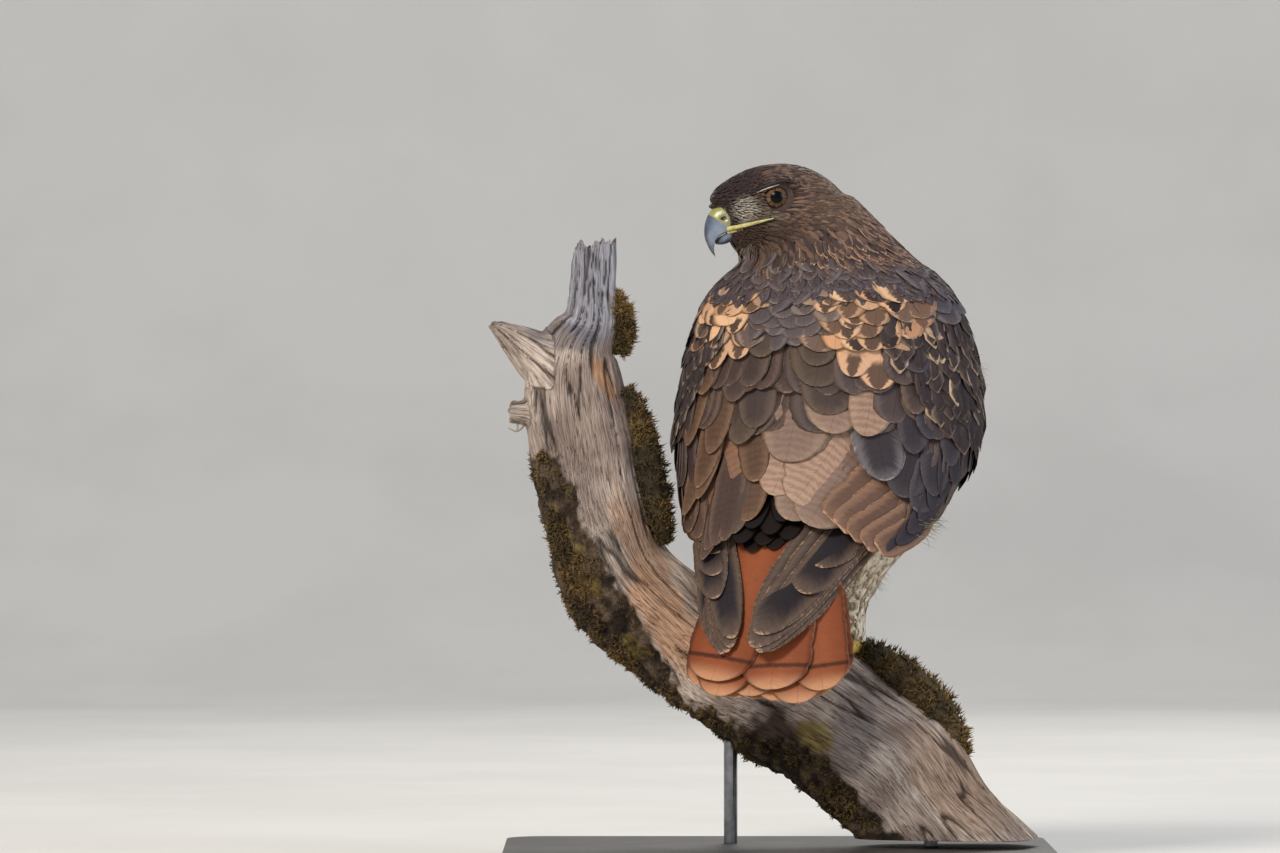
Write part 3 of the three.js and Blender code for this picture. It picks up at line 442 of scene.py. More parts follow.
class Nodes:
    """A shorthand for wiring a material's nodes."""

    def __init__(self, name):
        self.material = bpy.data.materials.new(name)
        self.material.use_nodes = True
        self.tree = self.material.node_tree
        self.shader = self.tree.nodes["Principled BSDF"]

    def node(self, kind, inputs, **settings):
        node = self.tree.nodes.new("ShaderNode" + kind)
        for key, value in settings.items():
            setattr(node, key, value)
        for key, value in inputs.items():
            self.put(node.inputs[key], value)
        return node

    def put(self, socket, value):
        if isinstance(value, Wire):
            self.tree.links.new(value.socket, socket)
        elif isinstance(value, tuple) and socket.type == "RGBA":
            socket.default_value = (*value, 1)
        else:
            socket.default_value = value

    def math(self, operation, a, b=0.0):
        return Wire(self, self.node("Math", {0: a, 1: b}, operation=operation).outputs[0])

    def ramp(self, value, low, high):
        settings = {"Value": value, "From Min": low, "From Max": high}
        return Wire(self, self.node("MapRange", settings, interpolation_type="SMOOTHSTEP").outputs[0])

    def mix(self, share, a, b, blend="MIX"):
        node = self.node("Mix", {}, data_type="RGBA", blend_type=blend)
        for index, value in ((0, share), (6, a), (7, b)):
            self.put(node.inputs[index], value)
        return Wire(self, node.outputs[2])

    def times(self, shade, factor):
        """A shade multiplied by a colour or by one value."""
        if isinstance(factor, Wire):
            factor = self.join(factor, factor, factor)
        return self.mix(1.0, shade, factor, "MULTIPLY")

    def noise(self, place, scale, detail=3.0, rough=0.55):
        inputs = {"Vector": place, "Scale": scale, "Detail": detail, "Roughness": rough}
        return Wire(self, self.node("TexNoise", inputs).outputs["Fac"])

    def attribute(self, name, output="Vector"):
        return Wire(self, self.node("Attribute", {}, attribute_name=name).outputs[output])

    def split(self, name):
        """The three numbers kept under a name for each point."""
        outputs = self.node("SeparateXYZ", {0: self.attribute(name)}).outputs
        return [Wire(self, socket) for socket in outputs]

    def join(self, x, y, z):
        return Wire(self, self.node("CombineXYZ", {0: x, 1: y, 2: z}).outputs[0])

    def cloud(self, scale, detail, rough=0.55):
        """Noise in the piece's own space."""
        place = Wire(self, self.node("TexCoord", {}).outputs["Object"])
        return self.noise(place, scale, detail, rough)

    def finish(self, base, rough, height=None, strength=0.3, distance=0.5, **constants):
        self.put(self.shader.inputs["Base Color"], base)
        self.put(self.shader.inputs["Roughness"], rough)
        if height is not None:
            bump = self.node("Bump", {"Strength": strength, "Distance": distance * MM, "Height": height})
            self.put(self.shader.inputs["Normal"], Wire(self, bump.outputs[0]))
        for key, value in constants.items():
            self.shader.inputs[key.replace("_", " ")].default_value = value
        return self.material


# Bars across a barred vane, in radians a millimetre of its length
BAR_PITCH = 1.15
BAR_WANDER = 8.0


def vane_measures(n):
    """Colours, middle and fringe of a vane, then length, side and seed, then shares and bars."""
    looks = [n.attribute(name, output) for name in ("tone", "rim") for output in ("Color", "Alpha")]
    return (*looks, *n.split("lay"), *n.split("mark"))


def feather_material(name, rough=0.62):
    """Barbs, bars, shaft and a pale fringe drawn from each vane's own measures."""
    n = Nodes(name)
    tone, dark, rim, fringe, length, across, seed, share, side, bars = vane_measures(n)
    reach = abs(side)
    barb = length - abs(across) * 0.9
    fine = n.noise(n.join(barb * 2.4, across * 0.12, seed), 1.0)
    broad = n.noise(n.join(barb * 0.35, across * 0.08, seed), 1.0)
    # Pale and dark bars
    wave = n.math("SINE", (length - abs(across) * 0.12) * BAR_PITCH + broad * BAR_WANDER)
    shade = n.mix(n.ramp(wave, -1.0, 1.0) * bars, tone, n.times(tone, (0.5, 0.43, 0.4)))
    # A glow towards the edge and tip
    edge = n.math("MAXIMUM", reach, (share - 0.72) * 3.6)
    glow = n.ramp(edge + broad * 0.3, 0.5, 1.2) * n.math("MINIMUM", fringe * 6.0, 0.45)
    shade = n.mix(glow, shade, rim)
    # The dark middle, narrower or wider by the vane's seed
    patchy = (broad - 0.5) * 0.7
    narrow = seed * 0.006 + 0.28
    centre = 1.0 - n.ramp(reach + patchy, narrow, narrow + 0.2)
    start = dark * 0.66
    begin = n.ramp(share + patchy * 0.16, start, start + 0.12)
    shade = n.mix(centre * begin * dark, shade, n.mix(1.0, shade, colour(50, 41, 41), "DARKEN"))
    # The fringe, the shaft and the barbs
    outer = n.ramp(edge + (broad - 0.5) * 0.3 - (1.0 - fringe), -0.04, 0.08)
    shade = n.mix(outer * n.ramp(fringe, 0.0, 0.04), shade, rim)
    shaft = n.math("LESS_THAN", abs(across), 0.28)
    shade = n.mix(shaft * 0.35, shade, n.times(shade, (0.35, 0.3, 0.28)))
    shade = n.times(shade, fine * 0.56 + 0.72)
    return n.finish(shade, rough, fine, 0.25, 0.4, Specular_IOR_Level=0.14)


def plain_material(name, first, second, scale, rough, strength, **constants):
    """Two tones in soft patches, with a grain of the same noise."""
    n = Nodes(name)
    patches = n.cloud(scale, 4.0)
    grain = n.cloud(scale * 9, 3.0)
    shade = n.mix(n.ramp(patches, 0.35, 0.65), first, second)
    return n.finish(shade, rough, grain, strength, 0.5, **constants)


# Vanes

SMALL_COLUMNS = np.array([-1, 0, 1.0])
LARGE_COLUMNS = np.array([-1, -0.6, 0, 0.6, 1.0])
FINE_COLUMNS = np.array([-1, -0.8, -0.5, -0.1, 0, 0.1, 0.5, 0.8, 1.0])
SMALL_STATIONS = np.linspace(0, 1, 5)
ROOT_MAP_PATCH = 0.003
# Share of a vane's length that one split in its edge takes up
NOTCH_LENGTH = 0.06


def vane_outline(t, root=0.45, full=0.45, round_from=0.7, tip=0.12):
    """Half width along a vane as a share: narrow root, full middle, round tip."""
    rise = mix(root, 1, smooth_step(0, full, t))
    end = np.clip((t - round_from) / (1 - round_from), 0, 1)
    return rise * np.sqrt(np.maximum(1 - end ** 2.2 * (1 - tip ** 2), tip ** 2))


class Coat:
    """Collects vanes, then makes one joined mesh of them."""

    def __init__(self):
        self.parts = []

    def add(self, line, normal, half, tone, rim, stations, outline=(), widths=None,
            columns=SMALL_COLUMNS, bars=0.0, thickness=0.35, curl=60.0, roll=0.0,
            fray=0.0, notch=0.0, uneven=0.0):
        """line and normal are (vanes, stations, 3), or (stations, 3) for one vane.
        half is each vane's half width, and outline or widths say how it changes along the vane.
        tone is colour and how dark the middle is, rim is colour and how wide the fringe is."""
        if line.ndim == 2:
            line, normal = line[None], normal[None]
        count, rings_each = line.shape[:2]

        def for_each(value):
            return np.broadcast_to(np.asarray(value, float), (count,))[:, None, None]

        def spread(value):
            return np.broadcast_to(value, (count, rings_each, len(column)))

        share = vane_outline(stations, *outline) if widths is None else widths
        along = unit(np.gradient(line, axis=1))
        normal = unit(normal - along * (normal * along).sum(-1, keepdims=True))
        flat = np.cross(along, normal)
        tilt = for_each(roll)
        across = flat * np.cos(tilt) + normal * np.sin(tilt)
        normal = normal * np.cos(tilt) - flat * np.sin(tilt)
        # Worn edges, one split in one edge, and two sides of uneven width
        worn = fray * rng.uniform(0, 1, (count, rings_each, len(columns))) ** 3
        at = rng.uniform(0.45, 1.0, (count, 1, 1))
        split = np.sign(rng.uniform(-1, 1, (count, 1, 1)))
        near = np.maximum(0, 1 - np.abs(stations[None, :, None] - at) / NOTCH_LENGTH)
        gap = near * (np.sign(columns) == split)
        worn = 1 - np.abs(columns) ** 4 * (worn + notch * rng.uniform(0, 1, (count, 1, 1)) * gap)
        skew = 1 + uneven * rng.uniform(-1, 1, (count, 1, 1)) * np.sign(columns)
        # The vane's sheet, with its own small thickness
        offset = for_each(half) * share[:, None] * columns * worn * skew
        sag = offset ** 2 / (2 * for_each(curl))
        middle = line[:, :, None] + across[:, :, None] * offset[..., None]
        middle = middle - normal[:, :, None] * sag[..., None]
        thin = np.interp(stations, [0, 0.15, 0.8, 1], [1, 1, 0.8, 0.35])
        lift = normal[:, :, None] * (thickness / 2 * (1 - columns ** 2) * thin[:, None])[None, ..., None]
        rings = np.concatenate([middle + lift, (middle - lift)[:, :, -2:0:-1]], 2)
        column = np.concatenate([np.arange(len(columns)), np.arange(len(columns) - 2, 0, -1)])
        # What the materials read: place on the vane in millimetres and as shares, seed and bars
        seed = rng.uniform(0, 50, count)
        lay = [spread(run_along(line)[:, :, None]), offset[:, :, column], spread(for_each(seed))]
        mark = [spread(stations[:, None]), spread(columns[column]), spread(for_each(bars))]
        patch = np.stack([mark[1] * 0.5, mark[0] - 0.5], -1) * ROOT_MAP_PATCH
        each = rings_each * len(column)
        starts = np.arange(count)[:, None, None] * each
        vane_faces = tube_faces(rings_each, len(column))
        self.parts.append({
            "points": rings.reshape(-1, 3),
            "faces": [(f[None] + starts).reshape(-1, f.shape[1]) for f in vane_faces],
            "lay": np.stack(lay, -1).reshape(-1, 3),
            "mark": np.stack(mark, -1).reshape(-1, 3),
            "tone": np.broadcast_to(tone, (count, 4)).repeat(each, 0),
            "rim": np.broadcast_to(rim, (count, 4)).repeat(each, 0),
            "map": (unwrap(line[:, 0])[:, None, None] + patch).reshape(-1, 2),
        })

    def make(self, name, material, slot, *nodes):
        points, faces = join([(part["points"], part["faces"]) for part in self.parts])
        kept = ("lay", "mark", "tone", "rim", "map")
        layers = {key: np.concatenate([part[key] for part in self.parts]) for key in kept}
        root_map = layers.pop("map")
        dress(make_mesh(name, points, faces, layers, root_map), material, slot, *nodes)


def unwrap(points):
    """The place of points on an unwrap of the bird's own shape: turn and height round the body."""
    own = points - bird(0, 25, 0)
    turn = np.arctan2(own[..., 0], -own[..., 1]) / (2 * math.pi) + 0.5
    height = (points[..., 2] - 100) / 430
    return np.stack([0.01 + 0.98 * turn, 0.01 + 0.98 * np.clip(height, 0, 1)], -1)


# Flesh: one skin under the coat

BODY_SIDES, BODY_RINGS = 64, 60
FLESH_VOXEL = 2.5
# How deep the skin lies under the coat's surface, on the body and above the neck
COAT_DEPTH, HEAD_COAT_DEPTH, HEAD_COAT_FROM = 4.0, 1.6, 452


def body_rings(rows):
    angle = around(BODY_SIDES)
    heights = np.linspace(rows[0][0], rows[-1][0], BODY_RINGS)
    return np.array([body_point(rows, np.full(BODY_SIDES, z), angle) for z in heights])


def neck_rings():
    angle = around(BODY_SIDES)[None]
    z = np.linspace(NECK[0][0] - 8, NECK[-1][0], 24)[:, None]
    r, f, half, behind, front = np.moveaxis(sample(NECK, z), -1, 0)
    depth = np.where(np.cos(angle) > 0, behind, front)
    return bird(r + half * np.sin(angle), f - depth * np.cos(angle), z + 0 * angle)


def head_rings():
    angle = around(BODY_SIDES)[None]
    x = np.linspace(HEAD[0][0], HEAD[-1][0], 60)[:, None]
    top, bottom, half = np.moveaxis(sample(HEAD, x), -1, 0)
    middle = mix(bottom, top, HEAD_WIDEST)
    s, c = np.sin(angle), np.cos(angle)
    side = half * np.sign(s) * np.abs(s) ** 0.86
    height = np.where(c > 0, top - middle, middle - bottom) * np.sign(c) * np.abs(c) ** 0.95
    return head_point(x + 0 * angle, side, middle + height)


def thigh_rings(side):
    angle = around(48)[None]
    z = np.linspace(THIGH[0][0], THIGH[-1][0], 24)[:, None]
    f, half, depth = np.moveaxis(sample(THIGH, z), -1, 0)
    inward = 5 * smooth_step(184, 258, z)
    r = side * (LEG_SPACING + inward) + half * np.sin(angle)
    return bird(r, f - depth * np.cos(angle), z + 0 * angle)


def fused(name, parts, voxel, smoothing):
    """Several closed bodies joined into one smooth skin."""
    return rounded(make_mesh(name, *join([closed_tube(rings) for rings in parts])), voxel, smoothing)


def rounded(thing, voxel, smoothing):
    """Builds a mesh anew from small cells and softens its edges."""
    remesh = thing.modifiers.new("join", "REMESH")
    remesh.mode = "VOXEL"
    remesh.voxel_size = voxel * MM
    soften = thing.modifiers.new("soften", "SMOOTH")
    soften.iterations = smoothing
    return apply_modifiers(thing)


def apply_modifiers(thing):
    baked = bpy.data.meshes.new_from_object(thing.evaluated_get(bpy.context.evaluated_depsgraph_get()))
    thing.modifiers.clear()
    thing.data = baked
    return thing


def shade_smooth(thing):
    thing.data.polygons.foreach_set("use_smooth", np.ones(len(thing.data.polygons), bool))


def move_points(thing, points):
    thing.data.vertices.foreach_set("co", (points * MM).ravel())
    shade_smooth(thing)


def mesh_arrays(thing):
    mesh = thing.data
    points = np.empty(len(mesh.vertices) * 3)
    mesh.vertices.foreach_get("co", points)
    normals = np.empty(len(mesh.vertices) * 3)
    mesh.vertices.foreach_get("normal", normals)
    return points.reshape(-1, 3) / MM, normals.reshape(-1, 3)


def surface_of(points, mesh):
    faces = [tuple(p.vertices) for p in mesh.polygons]
    return BVHTree.FromPolygons([tuple(p) for p in points], faces)


def corners_of(mesh):
    """The three corners of each triangle of a mesh."""
    mesh.calc_loop_triangles()
    corners = np.empty(len(mesh.loop_triangles) * 3, np.int32)
    mesh.loop_triangles.foreach_get("vertices", corners)
    return corners.reshape(-1, 3)


def brow_rings(side):
    rows = np.array([[*head_point(x, side * (out + BROW_PROUD), z), radius] for x, z, out, radius in BROW])
    return limb_rings(rows, 24, 20)


flesh_parts = [
    body_rings(TORSO),
    neck_rings(),
    head_rings(),
    thigh_rings(1),
    thigh_rings(-1),
    brow_rings(1),
    brow_rings(-1),
]
skin = fused("skin", flesh_parts, FLESH_VOXEL, 5)
flesh_points, flesh_normals = mesh_arrays(skin)
flesh_surface = surface_of(flesh_points, skin.data)
flesh_corners = corners_of(skin.data)
coat_depth = np.where(flesh_points[:, 2] > HEAD_COAT_FROM, HEAD_COAT_DEPTH, COAT_DEPTH)
move_points(skin, flesh_points - flesh_normals * coat_depth[:, None])

# The closed bird's surface, wings and all, which the tips of the coat lie on
shell = fused("shell", [body_rings(ENVELOPE), *flesh_parts], FLESH_VOXEL, 6)
outer_points, _ = mesh_arrays(shell)
coat_surface = surface_of(outer_points, shell.data)
shell_corners = corners_of(shell.data)
bpy.data.objects.remove(shell)


# Small feathers walk over the coat's surface from their roots

HEAD_FRONT = head_point(-44, 0, 478)
FACE_CENTRE, FACE_RADIUS = head_point(-30, 0, 480), 34
CERE_CENTRE = head_point(-40, 0, 472)
# Heights where legs and breast end and the nape begins, and degrees from the spine that a wing covers
LEGS_TOP, BREAST_TOP, NAPE_FOOT, WING_TURN = 262, 405, 436, 104
WING_LOW, WING_HIGH = 218, 428
# Small feathers by place: spacing, then length; how near they come to the bare parts
SMALL_SPACING = {"neck": 3.4, "head": 1.75, "face": 1.5, "breast": 6.5, "legs": 3.4, "shoulders": 7.0}
SMALL_LENGTH = {
    "back": 21, "neck": 22, "head": 10.5, "face": 5.0, "breast": 27, "shoulders": 28, "legs": 19,
}
BARE_ROUND_EYE, BARE_ROUND_GAPE, BARE_ROUND_CERE = 11.8, 1.9, 12.5
SMALL_TRIES = 90000
SMALL_ROLL = 0.14


def picture_place(points):
    """The photograph's pixels, x and y, that show points."""
    return points[:, 0] / PIXEL + PICTURE_X, PICTURE_Z - points[:, 2] / PIXEL


def picture_millimetres(x, y):
    """The frame's x and z of a pixel in the bird's plane."""
    return (x - PICTURE_X) * PIXEL, (PICTURE_Z - y) * PIXEL


def scatter(spacing_at, candidates, surface, corners):
    """Roots over a surface, at least a spacing apart that varies with the place."""
    a, b, c = (surface[corners[:, i]] for i in range(3))
    area = np.linalg.norm(np.cross(b - a, c - a), axis=1)
    spacing = spacing_at((a + b + c) / 3)
    weight = np.where(spacing > 0, area / np.maximum(spacing, 0.5) ** 2, 0)
    pick = rng.choice(len(area), candidates, p=weight / weight.sum())
    u, v = rng.uniform(size=(2, candidates, 1))
    flip = u + v > 1
    u, v = np.where(flip, 1 - u, u), np.where(flip, 1 - v, v)
    points = a[pick] + (b[pick] - a[pick]) * u + (c[pick] - a[pick]) * v
    room = spacing_at(points)
    points, room = points[room > 0], room[room > 0]
    cell = room.max()
    grid, kept = {}, []
    steps = list(itertools.product((-1, 0, 1), repeat=3))
    for k, (p, gap) in enumerate(zip(points.tolist(), room.tolist())):
        key = tuple(int(value // cell) for value in p)
        least = gap * gap
        cells = ((key[0] + x, key[1] + y, key[2] + z) for x, y, z in steps)
        close = (q for at in cells for q in grid.get(at, ()))
        if all((p[0] - q[0]) ** 2 + (p[1] - q[1]) ** 2 + (p[2] - q[2]) ** 2 >= least for q in close):
            grid.setdefault(key, []).append(p)
            kept.append(k)
    return points[kept]


def walk(roots, directions, lengths, steps, lifts, surface):
    """Lines that follow a surface, raised off it by lifts from root to tip."""
    lines = np.empty((len(roots), steps + 1, 3))
    normals = np.empty_like(lines)
    for k in range(len(roots)):
        point, normal, _, _ = surface.find_nearest(Vector(roots[k]))
        way = Vector(directions[k])
        step = lengths[k] / steps
        for i in range(steps + 1):
            way = (way - normal * way.dot(normal)).normalized()
            lines[k, i] = point
            normals[k, i] = normal
            if i < steps:
                point, normal, _, _ = surface.find_nearest(point + way * step)
    return lines + normals * np.asarray(lifts)[..., :, None], normals


def walk_up(tips, directions, lengths, steps, lifts):
    """Lines from root to tip that end at given tips; directions point from the tips to the roots."""
    line, normal = walk(tips, directions, lengths, steps, np.zeros(steps + 1), coat_surface)
    line, normal = line[:, ::-1], normal[:, ::-1]
    return line + normal * np.asarray(lifts)[..., :, None], normal


def seen_at(x, y):
    """The point of the coat's surface that the photograph shows at a pixel."""
    across, up = picture_millimetres(x, y)
    start = Vector((across, -500, up))
    hit = coat_surface.ray_cast(start, Vector((0, 1, 0)))[0]
    return np.array(hit or coat_surface.find_nearest(start + Vector((0, 500, 0)))[0])


def is_head(points):
    """1 on the head and 0 on the body, with a soft change in the neck."""
    line = np.interp(points[:, 0], [-34, 60], [446, 478])
    return smooth_step(-6, 8, points[:, 2] - line)


def flow(points):
    """The lie of the coat: back from the bill over the head, and down the neck and body."""
    from_bill = points - HEAD_FRONT
    back = unit(from_bill * np.array([1, 0.8, 0.75]) + np.array([12, 0, -6]))
    down = np.array([0.05, 0, -1.0])
    outward = unit((points - bird(-8, 42, 440)) * np.array([1, 1, 0]))
    nape = unit(outward * 0.9 + np.array([0.25, 0, -0.8]))
    share = is_head(points)[:, None]
    neck = smooth_step(395, 455, points[:, 2])[:, None]
    return unit(mix(mix(down, nape, neck), back, share))


def eye_distance(points):
    best = np.full(len(points), 1e9)
    for side in (1, -1):
        own = points - head_point(EYE_X, side * EYE_SIDE, EYE_Z)
        outward = np.array([0, -side, 0])
        flat = own - outward * (own @ outward)[:, None]
        near = np.where(own @ outward > 0, np.linalg.norm(flat, axis=1), 1e9)
        best = np.minimum(best, near)
    return best


def gape_distance(points):
    best = np.full(len(points), 1e9)
    for side in (1, -1):
        line = along_points([head_point(x, side * out, z) for x, z, out in GAPE_LINE], 24)
        gap = np.linalg.norm(points[:, None] - line[None], axis=2).min(1)
        best = np.minimum(best, gap)
    return best


def body_angle(points):
    """Degrees round the body from the spine, more to the bird's right."""
    own = points - bird(0, 38, 0)
    s, c = math.sin(BODY_YAW), math.cos(BODY_YAW)
    r = own[:, 0] * c - own[:, 1] * s
    f = own[:, 0] * s + own[:, 1] * c
    return np.degrees(np.arctan2(r, -f))


def on_shoulder(points):
    """1 where small coverts lie over the front of the folded wing."""
    angle = np.abs(body_angle(points))
    low = np.interp(angle, [50, 66, 104], [405, 345, 300])
    return (angle > 50) & (angle < 104) & (points[:, 2] > low) & (points[:, 2] < 412)


def is_face(points):
    return (is_head(points) > 0.5) & (np.linalg.norm(points - FACE_CENTRE, axis=1) < FACE_RADIUS)


def spacing_at(points):
    z = points[:, 2]
    size = mix(SMALL_SPACING["neck"], SMALL_SPACING["head"], is_head(points))
    size = np.where(is_face(points), SMALL_SPACING["face"], size)
    size = np.where(z < BREAST_TOP, SMALL_SPACING["breast"], size)
    size = np.where(z < LEGS_TOP, SMALL_SPACING["legs"], size)
    winged = (np.abs(body_angle(points)) < WING_TURN) & (z < WING_HIGH) & (z > WING_LOW)
    size = np.where(winged, 0, size)
    size = np.where(on_shoulder(points), SMALL_SPACING["shoulders"], size)
    bare = (eye_distance(points) < BARE_ROUND_EYE) | (gape_distance(points) < BARE_ROUND_GAPE)
    bare |= np.linalg.norm(points - CERE_CENTRE, axis=1) < BARE_ROUND_CERE
    return np.where(bare, 0, size)


def rgb(red, green, blue):
    """The same colour as an array, which sums and shares work on."""
    return np.array(colour(red, green, blue))


def lore_share(points, x, z, inner, outer):
    """1 near a place on either side of the face, 0 away from it."""
    share = np.zeros(len(points))
    for side in (14, -14):
        gap = np.linalg.norm((points - head_point(x, side, z)) * np.array([1, 0.4, 1]), axis=1)
        share = np.maximum(share, smooth_step(outer, inner, gap))
    return share[:, None]


def paleness(points):
    """1 on the cream breast, flanks and legs."""
    angle = np.abs(body_angle(points))[:, None]
    z = points[:, 2:3]
    front = smooth_step(98, 116, angle) * smooth_step(448, 428, z)
    return np.maximum(front, smooth_step(272, 250, z))


def face_tone(points, chance, picked):
    """Tones of the head's feathers, and how far each is one of the pale lores."""
    own = points - head_point(EYE_X, EYE_SIDE, EYE_Z)
    front = smooth_step(-4, -26, own[:, 0:1])
    behind_eye = smooth_step(8, 30, own[:, 0:1])
    behind_eye = behind_eye * smooth_step(-30, -4, own[:, 2:3]) * smooth_step(26, 8, own[:, 2:3])
    crown = mix(mix(rgb(64, 52, 54), rgb(92, 76, 72), chance), rgb(62, 55, 61), front * 0.7)
    streaks = smooth_step(0.15, 0.8, wobble(points, 11, 3)[:, None] * 0.8 + (chance - 0.5) * 1.2)
    streaked = np.maximum(streaks * 0.35, picked * mix(0.5, 0.7, behind_eye)) * (1 - front)
    tawny = mix(crown, rgb(170, 136, 112), streaked)
    tawny = mix(tawny, rgb(134, 112, 90), behind_eye * 0.45)
    cheek = smooth_step(480, 466, points[:, 2:3]) * smooth_step(30, 0, points[:, 0:1])
    face = mix(tawny, rgb(68, 54, 48), cheek * 0.8)
    face = mix(face, rgb(118, 110, 96), lore_share(points, -12, 478, 5, 13) * 0.8)
    lores = lore_share(points, -26, 481, 5, 13) * rng.uniform(0.6, 1, (len(points), 1))
    return mix(face, mix(rgb(168, 158, 140), rgb(206, 200, 186), chance), lores), lores


def breast_tone(z, angle, chance):
    """Cream, with dark feathers picked out in a band over the belly."""
    cream = mix(rgb(214, 196, 168), rgb(232, 218, 194), chance)
    belly = smooth_step(272, 292, z) * smooth_step(356, 330, z) * smooth_step(108, 130, angle)
    return mix(cream, rgb(104, 78, 60), belly * smooth_step(0.5, 0.62, chance) * 0.85)


def tint_small(points):
    """Tone, middle darkness, rim and fringe of the small feathers by their place."""
    count = len(points)
    z = points[:, 2:3]
    angle = np.abs(body_angle(points))[:, None]
    head, pale = is_head(points)[:, None], paleness(points)
    shoulder = on_shoulder(points)[:, None]
    chance = rng.uniform(size=(count, 1))
    picked = smooth_step(0.5, 0.8, rng.uniform(size=(count, 1)) + 0.25 * wobble(points, 9, 8)[:, None])
    face, lores = face_tone(points, chance, picked)
    mantle = mix(rgb(82, 74, 80), rgb(118, 108, 110), chance)
    throat = smooth_step(90, 130, angle) * smooth_step(428, 446, z)
    neck = mix(rgb(72, 61, 60), rgb(106, 88, 80), chance)
    neck = mix(neck, rgb(188, 144, 114), picked * 0.4)
    back = mix(mantle, mix(neck, rgb(50, 40, 35), throat), smooth_step(438, 452, z))
    tone = mix(mix(back, face, head), breast_tone(z, angle, chance), pale)
    tone = np.where(shoulder, mix(rgb(56, 50, 54), rgb(88, 76, 74), chance), tone)
    warm = smooth_step(444, 456, z) * (1 - throat) * smooth_step(0.2, 0.7, chance)
    rim = mix(rgb(122, 108, 104), rgb(206, 164, 134), warm)
    rim = mix(mix(rim, mix(rgb(130, 100, 80), tone * 1.2, 0.5), head), tone * 1.06, pale)
    rim = np.where(shoulder, mix(rgb(104, 92, 88), rgb(206, 180, 152), chance ** 3), rim)
    dark = mix(0.35, 0.75, chance) * (1 - pale) * (1 - lores) * mix(1, 0.2, head)
    fringe = mix(0.1, 0.3, chance) * mix(1.0, 0.8, head)
    tone = tone * (1 + 0.14 * wobble(points, 30, 5)[:, None])
    return np.concatenate([tone, dark], 1), np.concatenate([rim, fringe], 1)


def small_coats():
    roots = scatter(spacing_at, SMALL_TRIES, outer_points, shell_corners)
    z = roots[:, 2]
    head = is_head(roots)
    shoulder = on_shoulder(roots)
    neck = smooth_step(428, 440, z) * (1 - head)
    length = mix(mix(SMALL_LENGTH["back"], SMALL_LENGTH["neck"], neck), SMALL_LENGTH["head"], head)
    length = np.where(is_face(roots), SMALL_LENGTH["face"], length)
    length = np.where(z < BREAST_TOP, SMALL_LENGTH["breast"], length)
    length = np.where(shoulder, SMALL_LENGTH["shoulders"], length)
    length = np.where(z < LEGS_TOP, SMALL_LENGTH["legs"], length)
    length = length * rng.uniform(0.85, 1.2, len(roots))
    ways = flow(roots) + rng.normal(size=(len(roots), 3)) * mix(0.1, 0.06, head)[:, None]
    # Feathers on head and legs lie flatter
    flat = np.maximum(head, smooth_step(LEGS_TOP, 240, z))
    lifts = mix(np.array([-2.0, 0.2, 0.9, 1.6, 2.1]), np.array([-0.8, 0.0, 0.3, 0.5, 0.6]), flat[:, None])
    line, normal = walk(roots, ways, length, 4, lifts, coat_surface)
    tone, rim = tint_small(roots)
    half = length * mix(mix(0.26, 0.14, neck), 0.13, head)
    half = np.where(shoulder, length * 0.24, half)
    half = np.where(z < LEGS_TOP, length * 0.19, half)
    roll = rng.normal(size=len(roots)) * SMALL_ROLL
    groups = {
        "head": (z > NAPE_FOOT, "plumage_head"),
        "breast": ((z <= NAPE_FOOT) & (z > LEGS_TOP) & ~shoulder, "plumage_breast"),
        "shoulders": (shoulder, "plumage_back"),
        "legs": (z <= LEGS_TOP, "plumage_leg"),
    }
    material = feather_material("small_feathers")
    for name, (chosen, slot) in groups.items():
        coat = Coat()
        coat.add(line[chosen], normal[chosen], half[chosen], tone[chosen], rim[chosen],
                 SMALL_STATIONS, thickness=0.25, curl=30.0, roll=roll[chosen])
        coat.make("feathers_" + name, material, slot)


small_coats()


def toned_material(name, scale, detail, dim, relief):
    """Each point's own tone, dimmer in soft patches."""
    n = Nodes(name)
    tone = n.attribute("tone", "Color")
    cloud = n.cloud(scale, detail)
    shade = n.mix(n.ramp(cloud, 0.3, 0.7), n.times(tone, dim), tone)
    return n.finish(shade, 0.85, cloud, relief, relief)


# Down: dark, and cream on the breast and legs
down_material = toned_material("skin_down", 300, 4.0, (0.6, 0.56, 0.52), 0.5)
skin_tone = mix(rgb(74, 60, 54), rgb(206, 190, 164), paleness(flesh_points))
put_layer(skin, "tone", np.column_stack([skin_tone, np.ones(len(skin_tone))]))
dress(skin, down_material, "plumage_breast", "torso", "neck", "head", "leg_left", "leg_right")


# Mantle: staggered rows of broad scales over the shoulders, from one wing to the other

back_material = feather_material("back_feathers")
quill_material = feather_material("flight_feathers", rough=0.5)

# Patches of cream and peach on the back: pixel x and y, half width, half height, share
PALE_PATCHES = [
    (722, 338, 24, 30, 0.9), (755, 322, 14, 12, 0.7), (704, 372, 12, 20, 0.8), (740, 372, 16, 14, 0.8),
    (838, 324, 24, 12, 0.9), (882, 326, 32, 18, 1.0), (850, 362, 32, 20, 1.0), (892, 360, 22, 24, 1.0),
    (866, 390, 28, 20, 0.9), (934, 340, 14, 20, 0.6), (935, 372, 10, 16, 0.5),
]
MANTLE_TOP, MANTLE_END, MANTLE_STEP = 434, 374, 8.0
MANTLE_WIDTH = 30
MANTLE_LENGTH = 34


def pale_share(points):
    x, y = picture_place(points)
    share = np.zeros(len(points))
    for px, py, wide, high, most in PALE_PATCHES:
        reach = np.hypot((x - px) / wide, (y - py) / high)
        share = np.maximum(share, most * smooth_step(1.35, 0.6, reach))
    return share * (points[:, 1] < 60)


